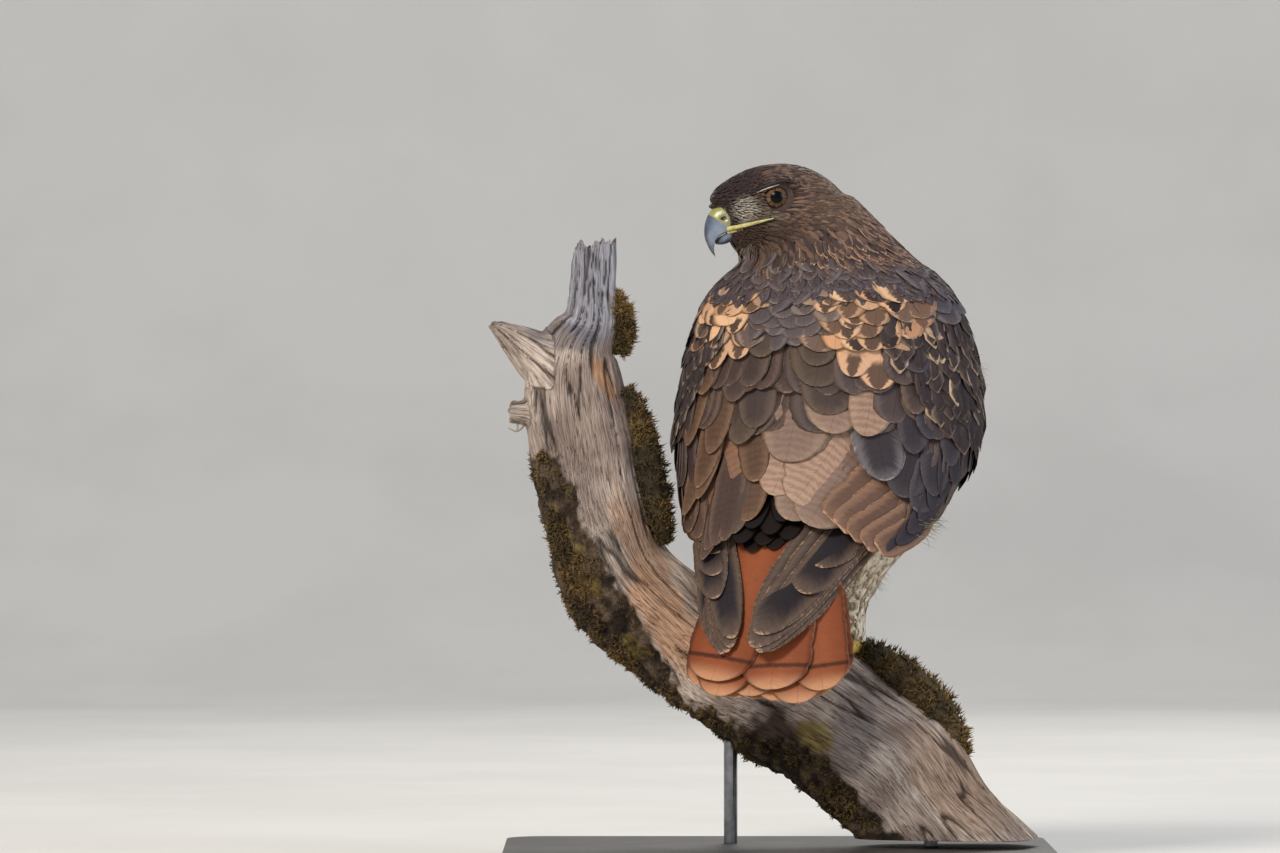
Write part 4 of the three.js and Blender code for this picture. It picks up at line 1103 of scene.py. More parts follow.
def tint_back(points):
    """Grey-brown scales with thin fringes, and peach ones with dark middles in the patches."""
    count = len(points)
    chance = rng.uniform(size=(count, 1))
    pale = (pale_share(points) * rng.uniform(0.75, 1.1, count))[:, None]
    # Painted shade: a blue-grey cast over the bird's right shoulder, as if in cool blue shade
    blue = smooth_step(50, 90, body_angle(points))[:, None] * smooth_step(380, 410, points[:, 2:3])
    brown = mix(mix(rgb(76, 68, 71), rgb(112, 101, 100), chance), rgb(74, 74, 86), blue * 0.7)
    tone = mix(brown, mix(rgb(196, 144, 106), rgb(232, 188, 146), chance), np.clip(pale, 0, 1))
    rim = mix(mix(rgb(134, 122, 122), rgb(160, 144, 136), chance), rgb(222, 180, 140), np.clip(pale, 0, 1))
    dark = mix(mix(0.1, 0.6, chance), rng.uniform(size=(count, 1)) > 0.4, np.clip(pale, 0, 1))
    fringe = mix(np.full((count, 1), 0.045), 0.02, pale)
    return np.concatenate([tone, dark], 1), np.concatenate([rim, fringe], 1)


def shell_at(degrees, z):
    """The outermost point of the coat's surface at a turn round the body and a height."""
    angle = math.radians(degrees)
    middle = bird(0, 38, z)
    way = bird(math.sin(angle), 38 - math.cos(angle), z) - middle
    hit = coat_surface.ray_cast(Vector(middle + way * 300), Vector(-way))[0]
    return np.array(hit)


def mantle():
    tips = []
    for row, z in enumerate(np.arange(MANTLE_TOP, MANTLE_END, -MANTLE_STEP)):
        reach = np.interp(z, [372, 400, 436], [62, 92, 104])
        girth = 104 - 30 * smooth_step(405, 448, z)
        turn = math.degrees(MANTLE_WIDTH * 0.74 / girth)
        for degrees in np.arange(-reach + (row % 2) * turn / 2, reach, turn):
            tips.append(shell_at(degrees + rng.uniform(-3, 3), z + rng.uniform(-3.2, 3.2)))
    tips = np.array(tips)
    count = len(tips)
    stations = 1 - (1 - np.linspace(0, 1, 10)) ** 1.3
    lifts = mix(-3.5, 2.0, stations)
    ways = -flow(tips) + rng.normal(size=(count, 3)) * 0.16
    line, normal = walk_up(tips, ways, MANTLE_LENGTH * rng.uniform(0.9, 1.1, count), 9, lifts)
    line = resample(line, stations)
    tone, rim = tint_back(tips)
    half = MANTLE_WIDTH / 2 * rng.uniform(0.8, 1.25, count)
    half = half * mix(1, 0.7, smooth_step(412, MANTLE_TOP, tips[:, 2]))
    coat = Coat()
    coat.add(line, normal, half, tone, rim, stations, (0.6, 0.3, 0.5), columns=LARGE_COLUMNS,
             roll=rng.normal(size=count) * 0.08, fray=0.08, notch=0.3, uneven=0.16)
    coat.make("feathers_mantle", back_material, "plumage_back")


def resample(line, stations):
    """The same lines at other shares of their length."""
    at = stations * (line.shape[1] - 1)
    low = np.minimum(at.astype(int), line.shape[1] - 2)
    return mix(line[:, low], line[:, low + 1], (at - low)[None, :, None])


mantle()


# Wings

# Tiers of a wing, first under the next: count, first and last root and tip in degrees
# round from the spine and heights, widths, lifts of root and tip, look
WING_TIERS = [
    (11, [[60, 296], [98, 300]], [[42, 240], [92, 262]], [34, 24], [-9, -3], "secondary"),
    (7, [[24, 348], [52, 306]], [[4, 284], [30, 246]], [44, 36], [-9, -2], "tertial"),
    (11, [[62, 346], [101, 340]], [[50, 276], [97, 292]], [30, 24], [-8, -1], "covert"),
    (12, [[60, 376], [103, 368]], [[56, 312], [103, 318]], [26, 20], [-7, 0], "covert"),
    (6, [[9, 372], [52, 370]], [[8, 316], [48, 322]], [42, 36], [-8, -1], "scapular"),
    (9, [[5, 400], [68, 396]], [[4, 346], [66, 350]], [34, 30], [-7, 0], "scapular"),
]
# Painted light: the left wing tinted warm, as if in the warm key light, and the right cool, as if in blue
# shade
WING_PAINTED_LIGHT = {1: np.array([0.94, 0.98, 1.06]), -1: np.array([1.12, 1.0, 0.88])}
# Look: tone, how dark its middle is, rim, how wide the fringe is, bars
LOOKS = {
    "secondary": (rgb(84, 68, 62), 0.3, rgb(150, 122, 104), 0.04, 0.2),
    "tertial": (rgb(128, 102, 88), 0.1, rgb(178, 148, 124), 0.035, 0.3),
    "covert": (rgb(68, 58, 58), 0.5, rgb(126, 110, 102), 0.045, 0.0),
    "scapular": (rgb(84, 71, 68), 0.4, rgb(142, 122, 108), 0.04, 0.0),
    "dark": (rgb(76, 64, 59), 0.3, rgb(164, 138, 116), 0.03, 0.0),
    "slate": (rgb(60, 55, 60), 0.3, rgb(112, 104, 106), 0.04, 0.12),
    "whiteedge": (rgb(62, 57, 62), 0.3, rgb(176, 168, 166), 0.05, 0.1),
    "edge": (rgb(52, 48, 54), 0.2, rgb(92, 84, 86), 0.03, 0.0),
    "peach": (rgb(196, 154, 122), 0.85, rgb(214, 176, 142), 0.03, 0.0),
    "tan": (rgb(138, 115, 102), 0.1, rgb(190, 160, 134), 0.03, 0.3),
    "barred": (rgb(160, 132, 114), 0.0, rgb(198, 168, 142), 0.03, 0.5),
    "warm": (rgb(112, 86, 72), 0.3, rgb(188, 148, 120), 0.04, 0.1),
    "brown": (rgb(100, 77, 62), 0.2, rgb(166, 132, 104), 0.04, 0.3),
    "olive": (rgb(84, 71, 62), 0.2, rgb(136, 114, 96), 0.035, 0.08),
}
# Large feathers that the photograph shows one by one, first under the next:
# tip in its pixels, length, width, lean of the root to the right in degrees, look
SHOWN_RIGHT = [
    (878, 565, 72, 22, 58, "warm"), (864, 560, 72, 24, 54, "warm"), (851, 552, 76, 24, 52, "warm"),
    (840, 544, 80, 26, 48, "warm"), (830, 535, 84, 28, 42, "warm"),
    (887, 567, 60, 14, 58, "edge"), (897, 560, 74, 18, 50, "edge"), (909, 549, 76, 20, 46, "edge"),
    (921, 537, 72, 20, 40, "edge"), (932, 526, 68, 20, 34, "edge"), (943, 515, 62, 20, 26, "edge"),
    (956, 501, 56, 20, 16, "edge"), (916, 527, 78, 34, 34, "slate"), (934, 512, 70, 30, 22, "slate"),
    (952, 482, 60, 24, 12, "slate"), (901, 513, 82, 44, 20, "slate"),
    (808, 541, 74, 56, 28, "tan"), (790, 537, 66, 44, 14, "tan"),
    (796, 519, 80, 64, 30, "barred"), (774, 512, 70, 44, 12, "barred"),
    (888, 497, 70, 40, -8, "whiteedge"), (915, 470, 56, 26, 4, "slate"), (932, 455, 50, 22, 4, "slate"),
    (866, 452, 60, 36, 10, "barred"), (788, 478, 70, 58, 6, "tan"), (831, 449, 62, 50, 14, "tan"),
    (826, 430, 60, 50, 8, "dark"), (880, 405, 52, 34, 6, "peach"), (917, 430, 50, 24, 4, "dark"),
    (817, 402, 56, 50, 6, "olive"), (853, 392, 44, 30, 8, "peach"), (817, 381, 42, 34, 4, "olive"),
    (920, 388, 46, 32, 2, "slate"), (948, 372, 42, 22, 0, "slate"), (873, 366, 40, 28, 6, "peach"),
    (914, 354, 42, 32, 0, "peach"), (826, 350, 42, 36, 4, "scapular"), (857, 340, 38, 30, 4, "peach"),
    (934, 334, 40, 26, -4, "slate"),
]
SHOWN_LEFT = [
    (704, 577, 80, 22, -4, "secondary"), (708, 568, 84, 24, -4, "secondary"),
    (716, 563, 84, 26, -6, "secondary"), (726, 558, 84, 26, -8, "secondary"),
    (735, 551, 76, 30, -8, "olive"), (749, 538, 66, 32, -8, "brown"),
    (686, 533, 90, 26, 2, "brown"), (758, 498, 60, 28, -14, "brown"), (700, 516, 84, 26, 0, "brown"),
    (700, 505, 80, 30, 0, "brown"), (712, 470, 70, 30, 0, "brown"), (742, 460, 56, 36, -8, "olive"),
    (690, 462, 66, 24, 2, "brown"), (756, 444, 50, 34, -8, "dark"), (735, 417, 52, 32, -2, "dark"),
    (704, 410, 52, 26, 2, "brown"), (752, 402, 46, 34, -8, "dark"), (716, 384, 46, 28, 2, "peach"),
    (740, 374, 42, 30, -4, "peach"), (765, 372, 44, 34, -6, "olive"), (700, 352, 40, 24, 4, "peach"),
    (763, 345, 42, 34, -6, "scapular"), (731, 330, 40, 30, -2, "peach"),
]


def feather_line(size, ends=1.3):
    """Stations along a large vane, closer towards its tip."""
    return 1 - (1 - np.linspace(0, 1, size)) ** ends


def wing_tiers(side, coat):
    for count, root, tip, width, lift, look in WING_TIERS:
        tone, dark, rim, fringe, bars = LOOKS[look]
        k = np.arange(count) / (count - 1)
        stations = feather_line(14)
        start = mix(np.array(root[0])[None], np.array(root[1])[None], k[:, None])
        end = mix(np.array(tip[0])[None], np.array(tip[1])[None], k[:, None])
        start += rng.uniform(-3, 3, (count, 2))
        end += rng.uniform(-3.5, 3.5, (count, 2))
        place = start[:, None] + (end - start)[:, None] * stations[None, :, None]
        off = mix(lift[0], lift[1], stations ** 0.7)[None, :] + rng.uniform(0, 0.8, (count, 1))
        line, normal = on_envelope(side, place[..., 0], place[..., 1], off)
        # Painted light: a warm or cool tint by the wing's side
        shade = tone * rng.uniform(0.8, 1.18, (count, 1)) * WING_PAINTED_LIGHT[side]
        coat.add(
            line, normal, mix(width[0], width[1], k) / 2, np.column_stack([shade, np.full(count, dark)]),
            (*rim, fringe), stations, (0.6, 0.4, 0.6), bars=bars, thickness=0.5, curl=90.0,
            columns=LARGE_COLUMNS, roll=side * 0.05, fray=0.06, notch=0.25, uneven=0.12)


# Outlines of the shown feathers; those of the warm look end nearly square
ROUND_ENDED, SQUARE_ENDED = (0.6, 0.4, 0.5), (0.6, 0.4, 0.84, 0.5)


def shown_feathers(rows, side, coat):
    stations = feather_line(20)
    count = len(rows)
    tips = np.array([seen_at(row[0], row[1]) for row in rows])
    lean = np.radians([row[4] for row in rows])
    up = np.stack([np.sin(lean), 0 * lean, np.cos(lean)], -1)
    lengths = np.array([row[2] for row in rows], float)
    line, normal = walk_up(tips, up, lengths, 12, np.zeros(13))
    line, normal = resample(line, stations), unit(resample(normal, stations))
    rank = np.arange(count)[:, None] / count
    rise = mix(-6, 1.2, stations)[None] + 0.9 * rank
    line = line + normal * rise[..., None]
    for k, row in enumerate(rows):
        tone, dark, rim, fringe, bars = LOOKS[row[5]]
        shade = (*tone * rng.uniform(0.9, 1.1), dark)
        coat.add(
            line[k], normal[k], row[3] / 2, shade, (*rim, fringe), stations,
            SQUARE_ENDED if row[5] == "warm" else ROUND_ENDED, bars=bars, thickness=0.5, curl=110.0,
            columns=FINE_COLUMNS, roll=side * 0.04 + rng.normal() * 0.03,
            fray=0.05, notch=0.22, uneven=0.12)


tail_root = bird(*TAIL_ROOT)
tail_tip = bird(*TAIL_TIP)
tail_along = unit(tail_tip - tail_root)
across_way = unit(bird(1, 0, 0) - bird(0, 0, 0))
tail_across = unit(across_way - tail_along * (across_way @ tail_along))
tail_up = np.cross(tail_across, tail_along)
if tail_up[2] < 0:
    tail_up = -tail_up


def tail_point(along, across, lift):
    """A point by its way along the tail, across it and over it."""
    along, across, lift = (np.asarray(v, float)[..., None] for v in (along, across, lift))
    return tail_root + tail_along * along + tail_across * across + tail_up * lift


# Long quills of a folded wing, the uppermost first: tip in the photograph's pixels, width,
# then the root's degrees round from the spine and its height
QUILLS_RIGHT = [
    (826, 554, 40, 38, 302), (819, 583, 44, 37, 300), (803, 609, 46, 36, 298), (757, 649, 46, 34, 296),
    (752, 662, 40, 45, 294), (758, 667, 34, 54, 291), (765, 666, 30, 62, 289), (773, 660, 27, 70, 287),
    (783, 654, 24, 75, 286), (795, 647, 22, 80, 286),
]
QUILLS_LEFT = [
    (718, 570, 34, 50, 298), (716, 592, 32, 54, 295), (716, 615, 30, 58, 292), (733, 654, 30, 50, 290),
    (731, 663, 27, 55, 288), (727, 668, 25, 59, 286), (722, 670, 24, 62, 285), (716, 662, 22, 64, 284),
    (709, 650, 20, 66, 284),
]
# Height of the last tips over the tail
QUILL_LIFT = {1: 20, -1: 11}
QUILL_FACING = (58, 285)
QUILL_PITCH = 1.5
QUILL_BOW = 5
QUILL_ROOT_DEPTH = 15


def over_tail(x, y, lift):
    """The point at a height over the tail's plane that the photograph shows at a pixel."""
    seen = np.array(picture_millimetres(x, y))
    base = tail_root + tail_up * lift
    ways = np.array([tail_along[[0, 2]], tail_across[[0, 2]]]).T
    along, across = np.linalg.solve(ways, seen - base[[0, 2]])
    return base + tail_along * along + tail_across * across


def quills(side, rows, coat):
    wrist, _ = on_envelope(side, *QUILL_FACING, -QUILL_ROOT_DEPTH)
    start_run = (wrist - tail_root) @ tail_along
    start_height = (wrist - tail_root) @ tail_up
    last = QUILL_LIFT[side]
    reach = max((over_tail(row[0], row[1], last) - tail_root) @ tail_along for row in rows)

    def height_at(run, k):
        s = (run - start_run) / (reach - start_run)
        return mix(start_height, last, s) + 4 * QUILL_BOW * s * (1 - s) - k * QUILL_PITCH

    stations = feather_line(34)
    t = stations[:, None]
    for k, (x, y, width, turn, z) in enumerate(rows):
        root, root_normal = on_envelope(side, turn, z, -QUILL_ROOT_DEPTH - k * QUILL_PITCH)
        tip = over_tail(x, y, last)
        for _ in range(3):
            tip = over_tail(x, y, height_at((tip - tail_root) @ tail_along, k))
        middle = (root + tip) / 2
        out, start = middle - tail_root, root - tail_root
        low = height_at(start @ tail_along, k) - start @ tail_up
        middle = middle + tail_up * (height_at(out @ tail_along, k) - 0.25 * low - out @ tail_up)
        line = arc(root, middle, tip, t)
        normal = mix(root_normal[None], tail_up[None], t)
        tone = (*rgb(41, 36, 40) * rng.uniform(0.82, 1.14), 0.2)
        coat.add(
            line, normal, width / 2, tone, (*rgb(182, 150, 124), 0.04), stations, (0.5, 0.35, 0.62, 0.1),
            bars=0.12, thickness=0.7, curl=700.0, columns=FINE_COLUMNS, fray=0.04, notch=0.16, uneven=0.1)


for side, name, rows, shown in (
    (1, "right", QUILLS_RIGHT, SHOWN_RIGHT),
    (-1, "left", QUILLS_LEFT, SHOWN_LEFT),
):
    tiers = Coat()
    wing_tiers(side, tiers)
    shown_feathers(shown, side, tiers)
    tiers.make("feathers_wing_" + name, back_material, "plumage_back", "wing_" + name)
    long_vanes = Coat()
    quills(side, rows, long_vanes)
    long_vanes.make("primaries_" + name, quill_material, "plumage_back")


# Tips of the coverts at the tail's base, in pixels; they are coloured near black as painted shadow in the
# cleft between the wings
RUMP_TIPS = [
    (752, 568), (774, 566), (763, 562), (788, 556), (741, 560), (770, 551), (752, 545), (782, 538),
]


def rump():
    coat = Coat()
    stations = feather_line(14)
    t = stations[:, None]
    for k, (x, y) in enumerate(RUMP_TIPS):
        tip = over_tail(x, y, 3.0 + 1.2 * k)
        root = tip - tail_along * 60 - tail_up * (9 - k)
        line = mix(root, tip, t)
        normal = np.broadcast_to(tail_up, line.shape)
        # Painted shadow: coverts near black, for the deep shade between the wings
        tone = (*rgb(24, 13, 9) * rng.uniform(0.7, 1.2), 0.0)
        coat.add(line, normal, 13, tone, (*rgb(30, 17, 12), 0.03), stations, ROUND_ENDED, thickness=0.5,
                 columns=FINE_COLUMNS, fray=0.1)
    coat.make("feathers_rump", back_material, "plumage_back")


rump()
CORE_TURNS, CORE_HEIGHTS = (-4, 98), (258, 424)
# Painted shade: the inner wing near black, for the shadow between the wings
shaded_core_material = plain_material("inner_wing_painted_shade", colour(34, 28, 26), colour(22, 18, 17), 60, 0.9, 0.5)


def wing_core(side, name):
    """The inner wing, which fills the room between the vanes and the body, near black as painted shade."""
    heights, degrees = np.linspace(*CORE_HEIGHTS, 40), np.linspace(*CORE_TURNS, 40)
    grid_z, grid_turn = np.meshgrid(heights, degrees, indexing="ij")
    outer, _ = on_envelope(side, grid_turn, grid_z, -6.5 - 5 * smooth_step(80, CORE_TURNS[1], grid_turn))
    inner = body_point(TORSO, grid_z, side * np.radians(grid_turn), -1.5)
    rings = np.concatenate([outer, inner[:, ::-1]], 1)
    dress(make_mesh("wing_core_" + name, *closed_tube(rings)), shaded_core_material, "plumage_back")


wing_core(1, "right")
wing_core(-1, "left")


# Tail

TAIL_PITCH = 1.2
TAIL_CURL = 420
# Tail feathers, the uppermost first: tip in the photograph's pixels and width
TAIL_FEATHERS = [
    (711, 696, 62), (770, 704, 54), (822, 704, 44), (716, 711, 50), (797, 717, 46), (748, 711, 46),
    (776, 715, 44), (732, 713, 44), (698, 701, 44), (832, 696, 38), (812, 712, 42), (758, 714, 44),
]


def tail_feathers():
    coat = Coat()
    stations = feather_line(44, 1.4)
    t = stations[:, None]
    for rank, (x, y, width) in enumerate(TAIL_FEATHERS):
        depth = -TAIL_PITCH * rank
        across = (over_tail(x, y, depth) - tail_root) @ tail_across
        arch = -across ** 2 / TAIL_CURL
        tip = over_tail(x, y, depth + arch)
        length = (tip - tail_root) @ tail_along
        across = (tip - tail_root) @ tail_across
        root = tail_point(0, across * 0.2, -2 - depth * 0.3)
        middle = tail_point(length / 2, across * 0.52, depth + 2 + arch / 2)
        line = arc(root, middle, tip, t)
        normal = np.broadcast_to(tail_up + tail_across * across * 0.004, line.shape)
        tone = (*rgb(148, 82, 52) * rng.uniform(0.76, 1.14), 0.0)
        coat.add(
            line, normal, width / 2, tone, (*rgb(206, 156, 118), 0.05), stations, (0.35, 0.6, 0.86, 0.16),
            fray=0.05, notch=0.1, thickness=0.7, curl=260.0, columns=FINE_COLUMNS, uneven=0.08)
    coat.make("tail_feathers", tail_material(), "plumage_tail", "tail")


def tail_material():
    """Rufous vanes with one dark band before a pale tip, darker towards their sides and near black over
    their root part: painted shade.
    """
    n = Nodes("tail_rufous")
    tone, _, rim, _, length, across, seed, share, side, _ = vane_measures(n)
    reach = abs(side)
    barb = length - abs(across) * 0.5
    fine = n.noise(n.join(barb * 2.2, across * 0.12, seed), 1.0)
    broad = n.noise(n.join(barb * 0.3, across * 0.1, seed), 1.0)
    place = share + (fine - 0.5) * 0.016
    band = n.ramp(place, 0.884, 0.896) * (1.0 - n.ramp(place, 0.902, 0.914))
    # Painted shade: each vane darker towards its sides, where it lies under its neighbours
    shade = n.mix(n.ramp(reach, 0.1, 1.0), tone, n.times(tone, (0.72, 0.66, 0.62)))
    # Painted shadow: the root part near black, for the wings' shadow over the tail's base
    shade = n.mix(n.ramp(share + broad * 0.05, 0.36, 0.45), n.times(tone, (0.06, 0.07, 0.09)), shade)
    shade = n.mix(n.ramp(share, 0.92, 1.0) * 0.7, shade, rim)
    shade = n.mix(band * 0.85, shade, colour(58, 34, 24))
    shade = n.mix(n.ramp(reach + broad * 0.1, 0.97, 1.06) * 0.35, shade, rim)
    shaft = n.math("LESS_THAN", abs(across), 0.5)
    shade = n.mix(shaft * 0.22, shade, colour(120, 62, 34))
    shade = n.times(shade, fine * 0.4 + broad * 0.28 + 0.66)
    return n.finish(shade, 0.6, fine, 0.3, 0.4, Specular_IOR_Level=0.14)


tail_feathers()


# Bill

BILL_RINGS, BILL_SIDES = 110, 80


def bill_part(name, rows, node):
    """A horn lofted through profiles: rounded from the ridge to the mouth's edge, hollowed under it."""
    rows = np.array(rows, float)
    middle = (rows[:, 0:2] + rows[:, 2:4]) / 2
    at = run_along(middle)
    line = sample(np.column_stack([at, rows]), np.linspace(0, at[-1], BILL_RINGS))
    ridge, edge, half = line[:, None, 0:2], line[:, None, 2:4], line[:, 4:5]
    angle = around(BILL_SIDES)[None]
    turn = np.minimum(angle, 2 * math.pi - angle)
    over = turn < math.pi / 2
    rise = np.where(over, np.cos(turn), 0.16 * np.sin(turn - math.pi / 2))
    out = np.where(over, np.sin(turn) ** 0.75, np.abs(np.sin(turn))) * np.sign(np.sin(angle))
    place = edge + (ridge - edge) * rise[..., None]
    x, z = place[..., 0], place[..., 1]
    along_hole = (x - NOSTRIL_X) * 0.94 + (z - NOSTRIL_Z) * 0.34
    over_hole = (z - NOSTRIL_Z) * 0.94 - (x - NOSTRIL_X) * 0.34
    hole = np.exp(-((along_hole / 2.5) ** 2 + (over_hole / 1.4) ** 2) ** 2)
    cere = smooth_step(-0.4, 0.4, z - CERE_Z + CERE_FALL * (x - CERE_X))
    tube = closed_tube(head_point(x, out * half * (1 - 0.2 * hole + 0.04 * cere), z))
    tip = np.linspace(0, 1, BILL_RINGS)[:, None] + 0 * angle
    lay = np.column_stack([cere.ravel(), hole.ravel(), (rise + 0 * tip).ravel()])
    dress(make_mesh(name, *tube, {"lay": lay, "mark": tip.ravel()}), bill_material(), "bill", node)


def bill_material():
    n = Nodes("bill_horn")
    cere, hole, rise = n.split("lay")
    tip = n.split("mark")[0]
    cloud = n.cloud(220, 3.0)
    fine = n.cloud(900, 2.0)
    horn = n.mix(n.ramp(rise, 0.35, 1.0), colour(118, 130, 148), colour(58, 64, 82))
    horn = n.mix(n.ramp(tip + (cloud - 0.5) * 0.1, 0.72, 0.97), horn, colour(30, 31, 36))
    horn = n.mix(n.ramp(cloud, 0.4, 0.7) * 0.3, horn, colour(150, 160, 172))
    skin = n.mix(n.ramp(rise, 0.2, 0.9), colour(146, 145, 114), colour(150, 150, 84))
    skin = n.mix(n.ramp(fine, 0.4, 0.6) * 0.25, skin, colour(120, 124, 74))
    shade = n.mix(cere, horn, skin)
    # Painted shade: the nostril's hollow drawn near black
    shade = n.mix(n.ramp(hole, 0.25, 0.7), shade, colour(28, 24, 18))
    return n.finish(shade, 0.34, fine, 0.12, 0.2, Coat_Weight=0.2)


bill_part("bill_upper_horn", BILL_UPPER, "bill_upper")
bill_part("bill_lower_horn", BILL_LOWER, "bill_lower")


# Eyes


def eye_material():
    n = Nodes("eye_iris")
    ring = n.split("lay")[0]
    rays = n.noise(n.attribute("spokes"), 5.0, 5.0)
    iris = n.mix(n.ramp(rays, 0.35, 0.65), colour(66, 48, 38), colour(116, 88, 68))
    iris = n.mix(n.ramp(ring, 0.66, 0.86), iris, colour(44, 28, 20))
    shade = n.mix(n.ramp(ring, 0.43, 0.46), colour(2, 2, 2), iris)
    shade = n.mix(n.ramp(ring, 0.88, 0.94), shade, colour(9, 8, 8))
    return n.finish(
        shade, 0.3, Specular_IOR_Level=0.1, Coat_Weight=0.16, Coat_Roughness=0.02, Coat_IOR=1.38)


def eye_ball(side, name):
    count, sides = 40, 48
    turn = np.linspace(0, math.pi, count)[:, None]
    angle = around(sides)[None]
    flat = np.sin(turn) * np.cos(angle), np.sin(turn) * np.sin(angle)
    out = np.cos(turn) + 0 * angle
    bulge = 1 + 0.06 * smooth_step(0.75, 1, out)
    offset = np.stack([flat[0], -side * out * bulge, flat[1]], -1) * EYE_RADIUS
    rings = head_point(EYE_X, side * EYE_SIDE, EYE_Z) + offset
    spokes = np.stack([np.cos(angle) + 0 * turn, np.sin(angle) + 0 * turn, 0.2 * turn + 0 * angle], -1)
    layers = {"lay": np.repeat(turn[:, 0], sides), "spokes": spokes.reshape(-1, 3)}
    dress(make_mesh(name + "_ball", *closed_tube(rings), layers), eye_material(), "eye", name)


eye_ball(1, "eye_left")
eye_ball(-1, "eye_right")


# Lids and the bare skin round an eye: width of the opening from its rim, and lift off the ball
LID_SECTION = [
    (0, -1.4), (0, 0.15), (0.35, 0.75), (1.0, 0.9), (1.9, 0.6), (3.2, 0.3), (4.8, -0.4), (4.8, -3.0),
]
LID_OPEN_X, LID_OPEN_Z = 9.5, 8.2


def lids(side, name):
    angle = around(72)[:, None]
    section = np.array(LID_SECTION)
    wide = LID_OPEN_X + section[:, 0]
    high = LID_OPEN_Z + section[:, 0] - 0.9 * np.sin(angle) * (np.sin(angle) > 0)
    a, b = wide * np.cos(angle), high * np.sin(angle)
    crease = 0.12 * np.sin(9 * angle + section[:, 0] * 2.5)
    reach = np.sqrt(np.maximum(EYE_RADIUS ** 2 - a ** 2 - b ** 2, 0)) + section[:, 1] + crease
    rings = head_point(EYE_X + a, side * (EYE_SIDE + reach), EYE_Z + b)
    count, sides = rings.shape[:2]
    faces = ring_faces(count, sides, closed=True)
    if side > 0:
        faces = faces[:, ::-1]
    thing = make_mesh(name, rings.reshape(-1, 3), faces, {"lay": np.tile(section[:, 0], count)})
    dress(thing, lid_material(), "eye")


def lid_material():
    n = Nodes("lid_skin")
    out = n.split("lay")[0]
    cloud = n.cloud(500, 3.0)
    ring = n.mix(cloud, colour(138, 140, 146), colour(104, 102, 106))
    shade = n.mix(n.ramp(out, 0.4, 1.1), colour(20, 18, 18), ring)
    shade = n.mix(n.ramp(out, 1.8, 3.0), shade, colour(62, 52, 48))
    return n.finish(shade, 0.5, cloud, 0.4, 0.2)


def gape(side, name):
    """The yellow corner of the mouth, from the cere to below the eye, and its lower edge."""
    upper = [[*head_point(x, side * (out + 0.6), z), radius]
             for (x, z, out), radius in zip(GAPE_LINE, (1.9, 1.6, 1.1, 0.4))]
    lower = [[*head_point(x, side * (out - 0.6), z - 2.8), radius]
             for (x, z, out), radius in zip(GAPE_LINE[:2], (1.1, 0.4))]
    thing = make_mesh(name, *join([closed_tube(limb_rings(rows, 40, 20)) for rows in (upper, lower)]))
    material = plain_material(name + "_skin", colour(206, 198, 132), colour(168, 152, 96), 300, 0.45, 0.3)
    dress(thing, material, "bill")


# Lines over an eye: head x and z of their course, radius, tone; the first, near black, is painted shadow
# under the brow together with its dark feathers
BROW_LINES = [
    # Painted shadow under the brow, with the brow's own dark feathers
    ([(-21, 492.6), (-9, 498), (4, 501.6), (13, 499)], 1.3, (26, 21, 22)),
    ([(-16, 493), (-8, 496.4), (0, 498.8)], 0.55, (176, 160, 146)),
]


def brow_lines(side):
    for k, (course, radius, tone) in enumerate(BROW_LINES):
        rows = []
        for x, z in course:
            start = head_point(x, side * 70, z)
            way = unit(head_point(x, 0, z) - start)
            hit = coat_surface.ray_cast(Vector(start), Vector(way))[0]
            rows.append([*(np.array(hit) - way * 0.6), radius])
        rows[0][3] = rows[-1][3] = radius * 0.3
        name = "brow_%d_%s" % (k, "left" if side > 0 else "right")
        thing = make_mesh(name, *closed_tube(limb_rings(rows, 40, 12)))
        light = tuple(min(255, v * 1.25) for v in tone)
        material = plain_material("brow_%d" % k, colour(*tone), colour(*light), 400, 0.6, 0.4)
        dress(thing, material, "plumage_head")


for side, name in ((1, "left"), (-1, "right")):
    lids(side, "lids_" + name)
    gape(side, "gape_" + name)
    brow_lines(side)


# Limb


def lattice(points, seed):
    """Smooth random values between -1 and 1 that change about once in a unit of space."""
    cell = np.floor(points).astype(np.int64)
    t = points - cell
    t = t * t * (3 - 2 * t)
    total = np.zeros(points.shape[:-1])
    for corner in itertools.product((0, 1), repeat=3):
        c = cell + corner
        h = (c[..., 0] * 73856093) ^ (c[..., 1] * 19349663) ^ (c[..., 2] * 83492791) ^ (seed * 26544357)
        h = ((h ^ (h >> 13)) * 1274126177) & 0x7FFFFFFF
        weight = np.prod(np.where(corner, t, 1 - t), -1)
        total += weight * (((h >> 8) & 0xFFFF) / 32767.5 - 1)
    return total


def gnarl(t, angle):
    folds = np.sin(3 * angle + 9 * t) + 0.7 * np.sin(5 * angle - 17 * t + 1.3)
    lumps = np.sin(31 * t + 2 * angle) + 0.6 * np.sin(53 * t - angle + 0.7)
    return 1 + LIMB_GNARL * (0.5 * folds + 0.35 * lumps)


def grain_of(points, rows, round_scale, start):
    """Places in the wood's grain: round the nearest line, along it, and how far out they lie."""
    fine = along_points(rows, 900)
    line = fine[:, :3]
    along, depth, up = tube_frames(line)
    run = run_along(line)
    tree = KDTree(len(line))
    for k, p in enumerate(line):
        tree.insert(p, k)
    tree.balance()
    near = np.array([tree.find(p)[1] for p in points])
    own = points - line[near]
    turn = np.arctan2((own * up[near]).sum(1), (own * depth[near]).sum(1))
    length = run[near] + (own * along[near]).sum(1) + start
    grain = np.stack([np.cos(turn) * round_scale, np.sin(turn) * round_scale, length], -1)
    return grain, np.linalg.norm(own, axis=1) / np.maximum(fine[near, 3], 1)


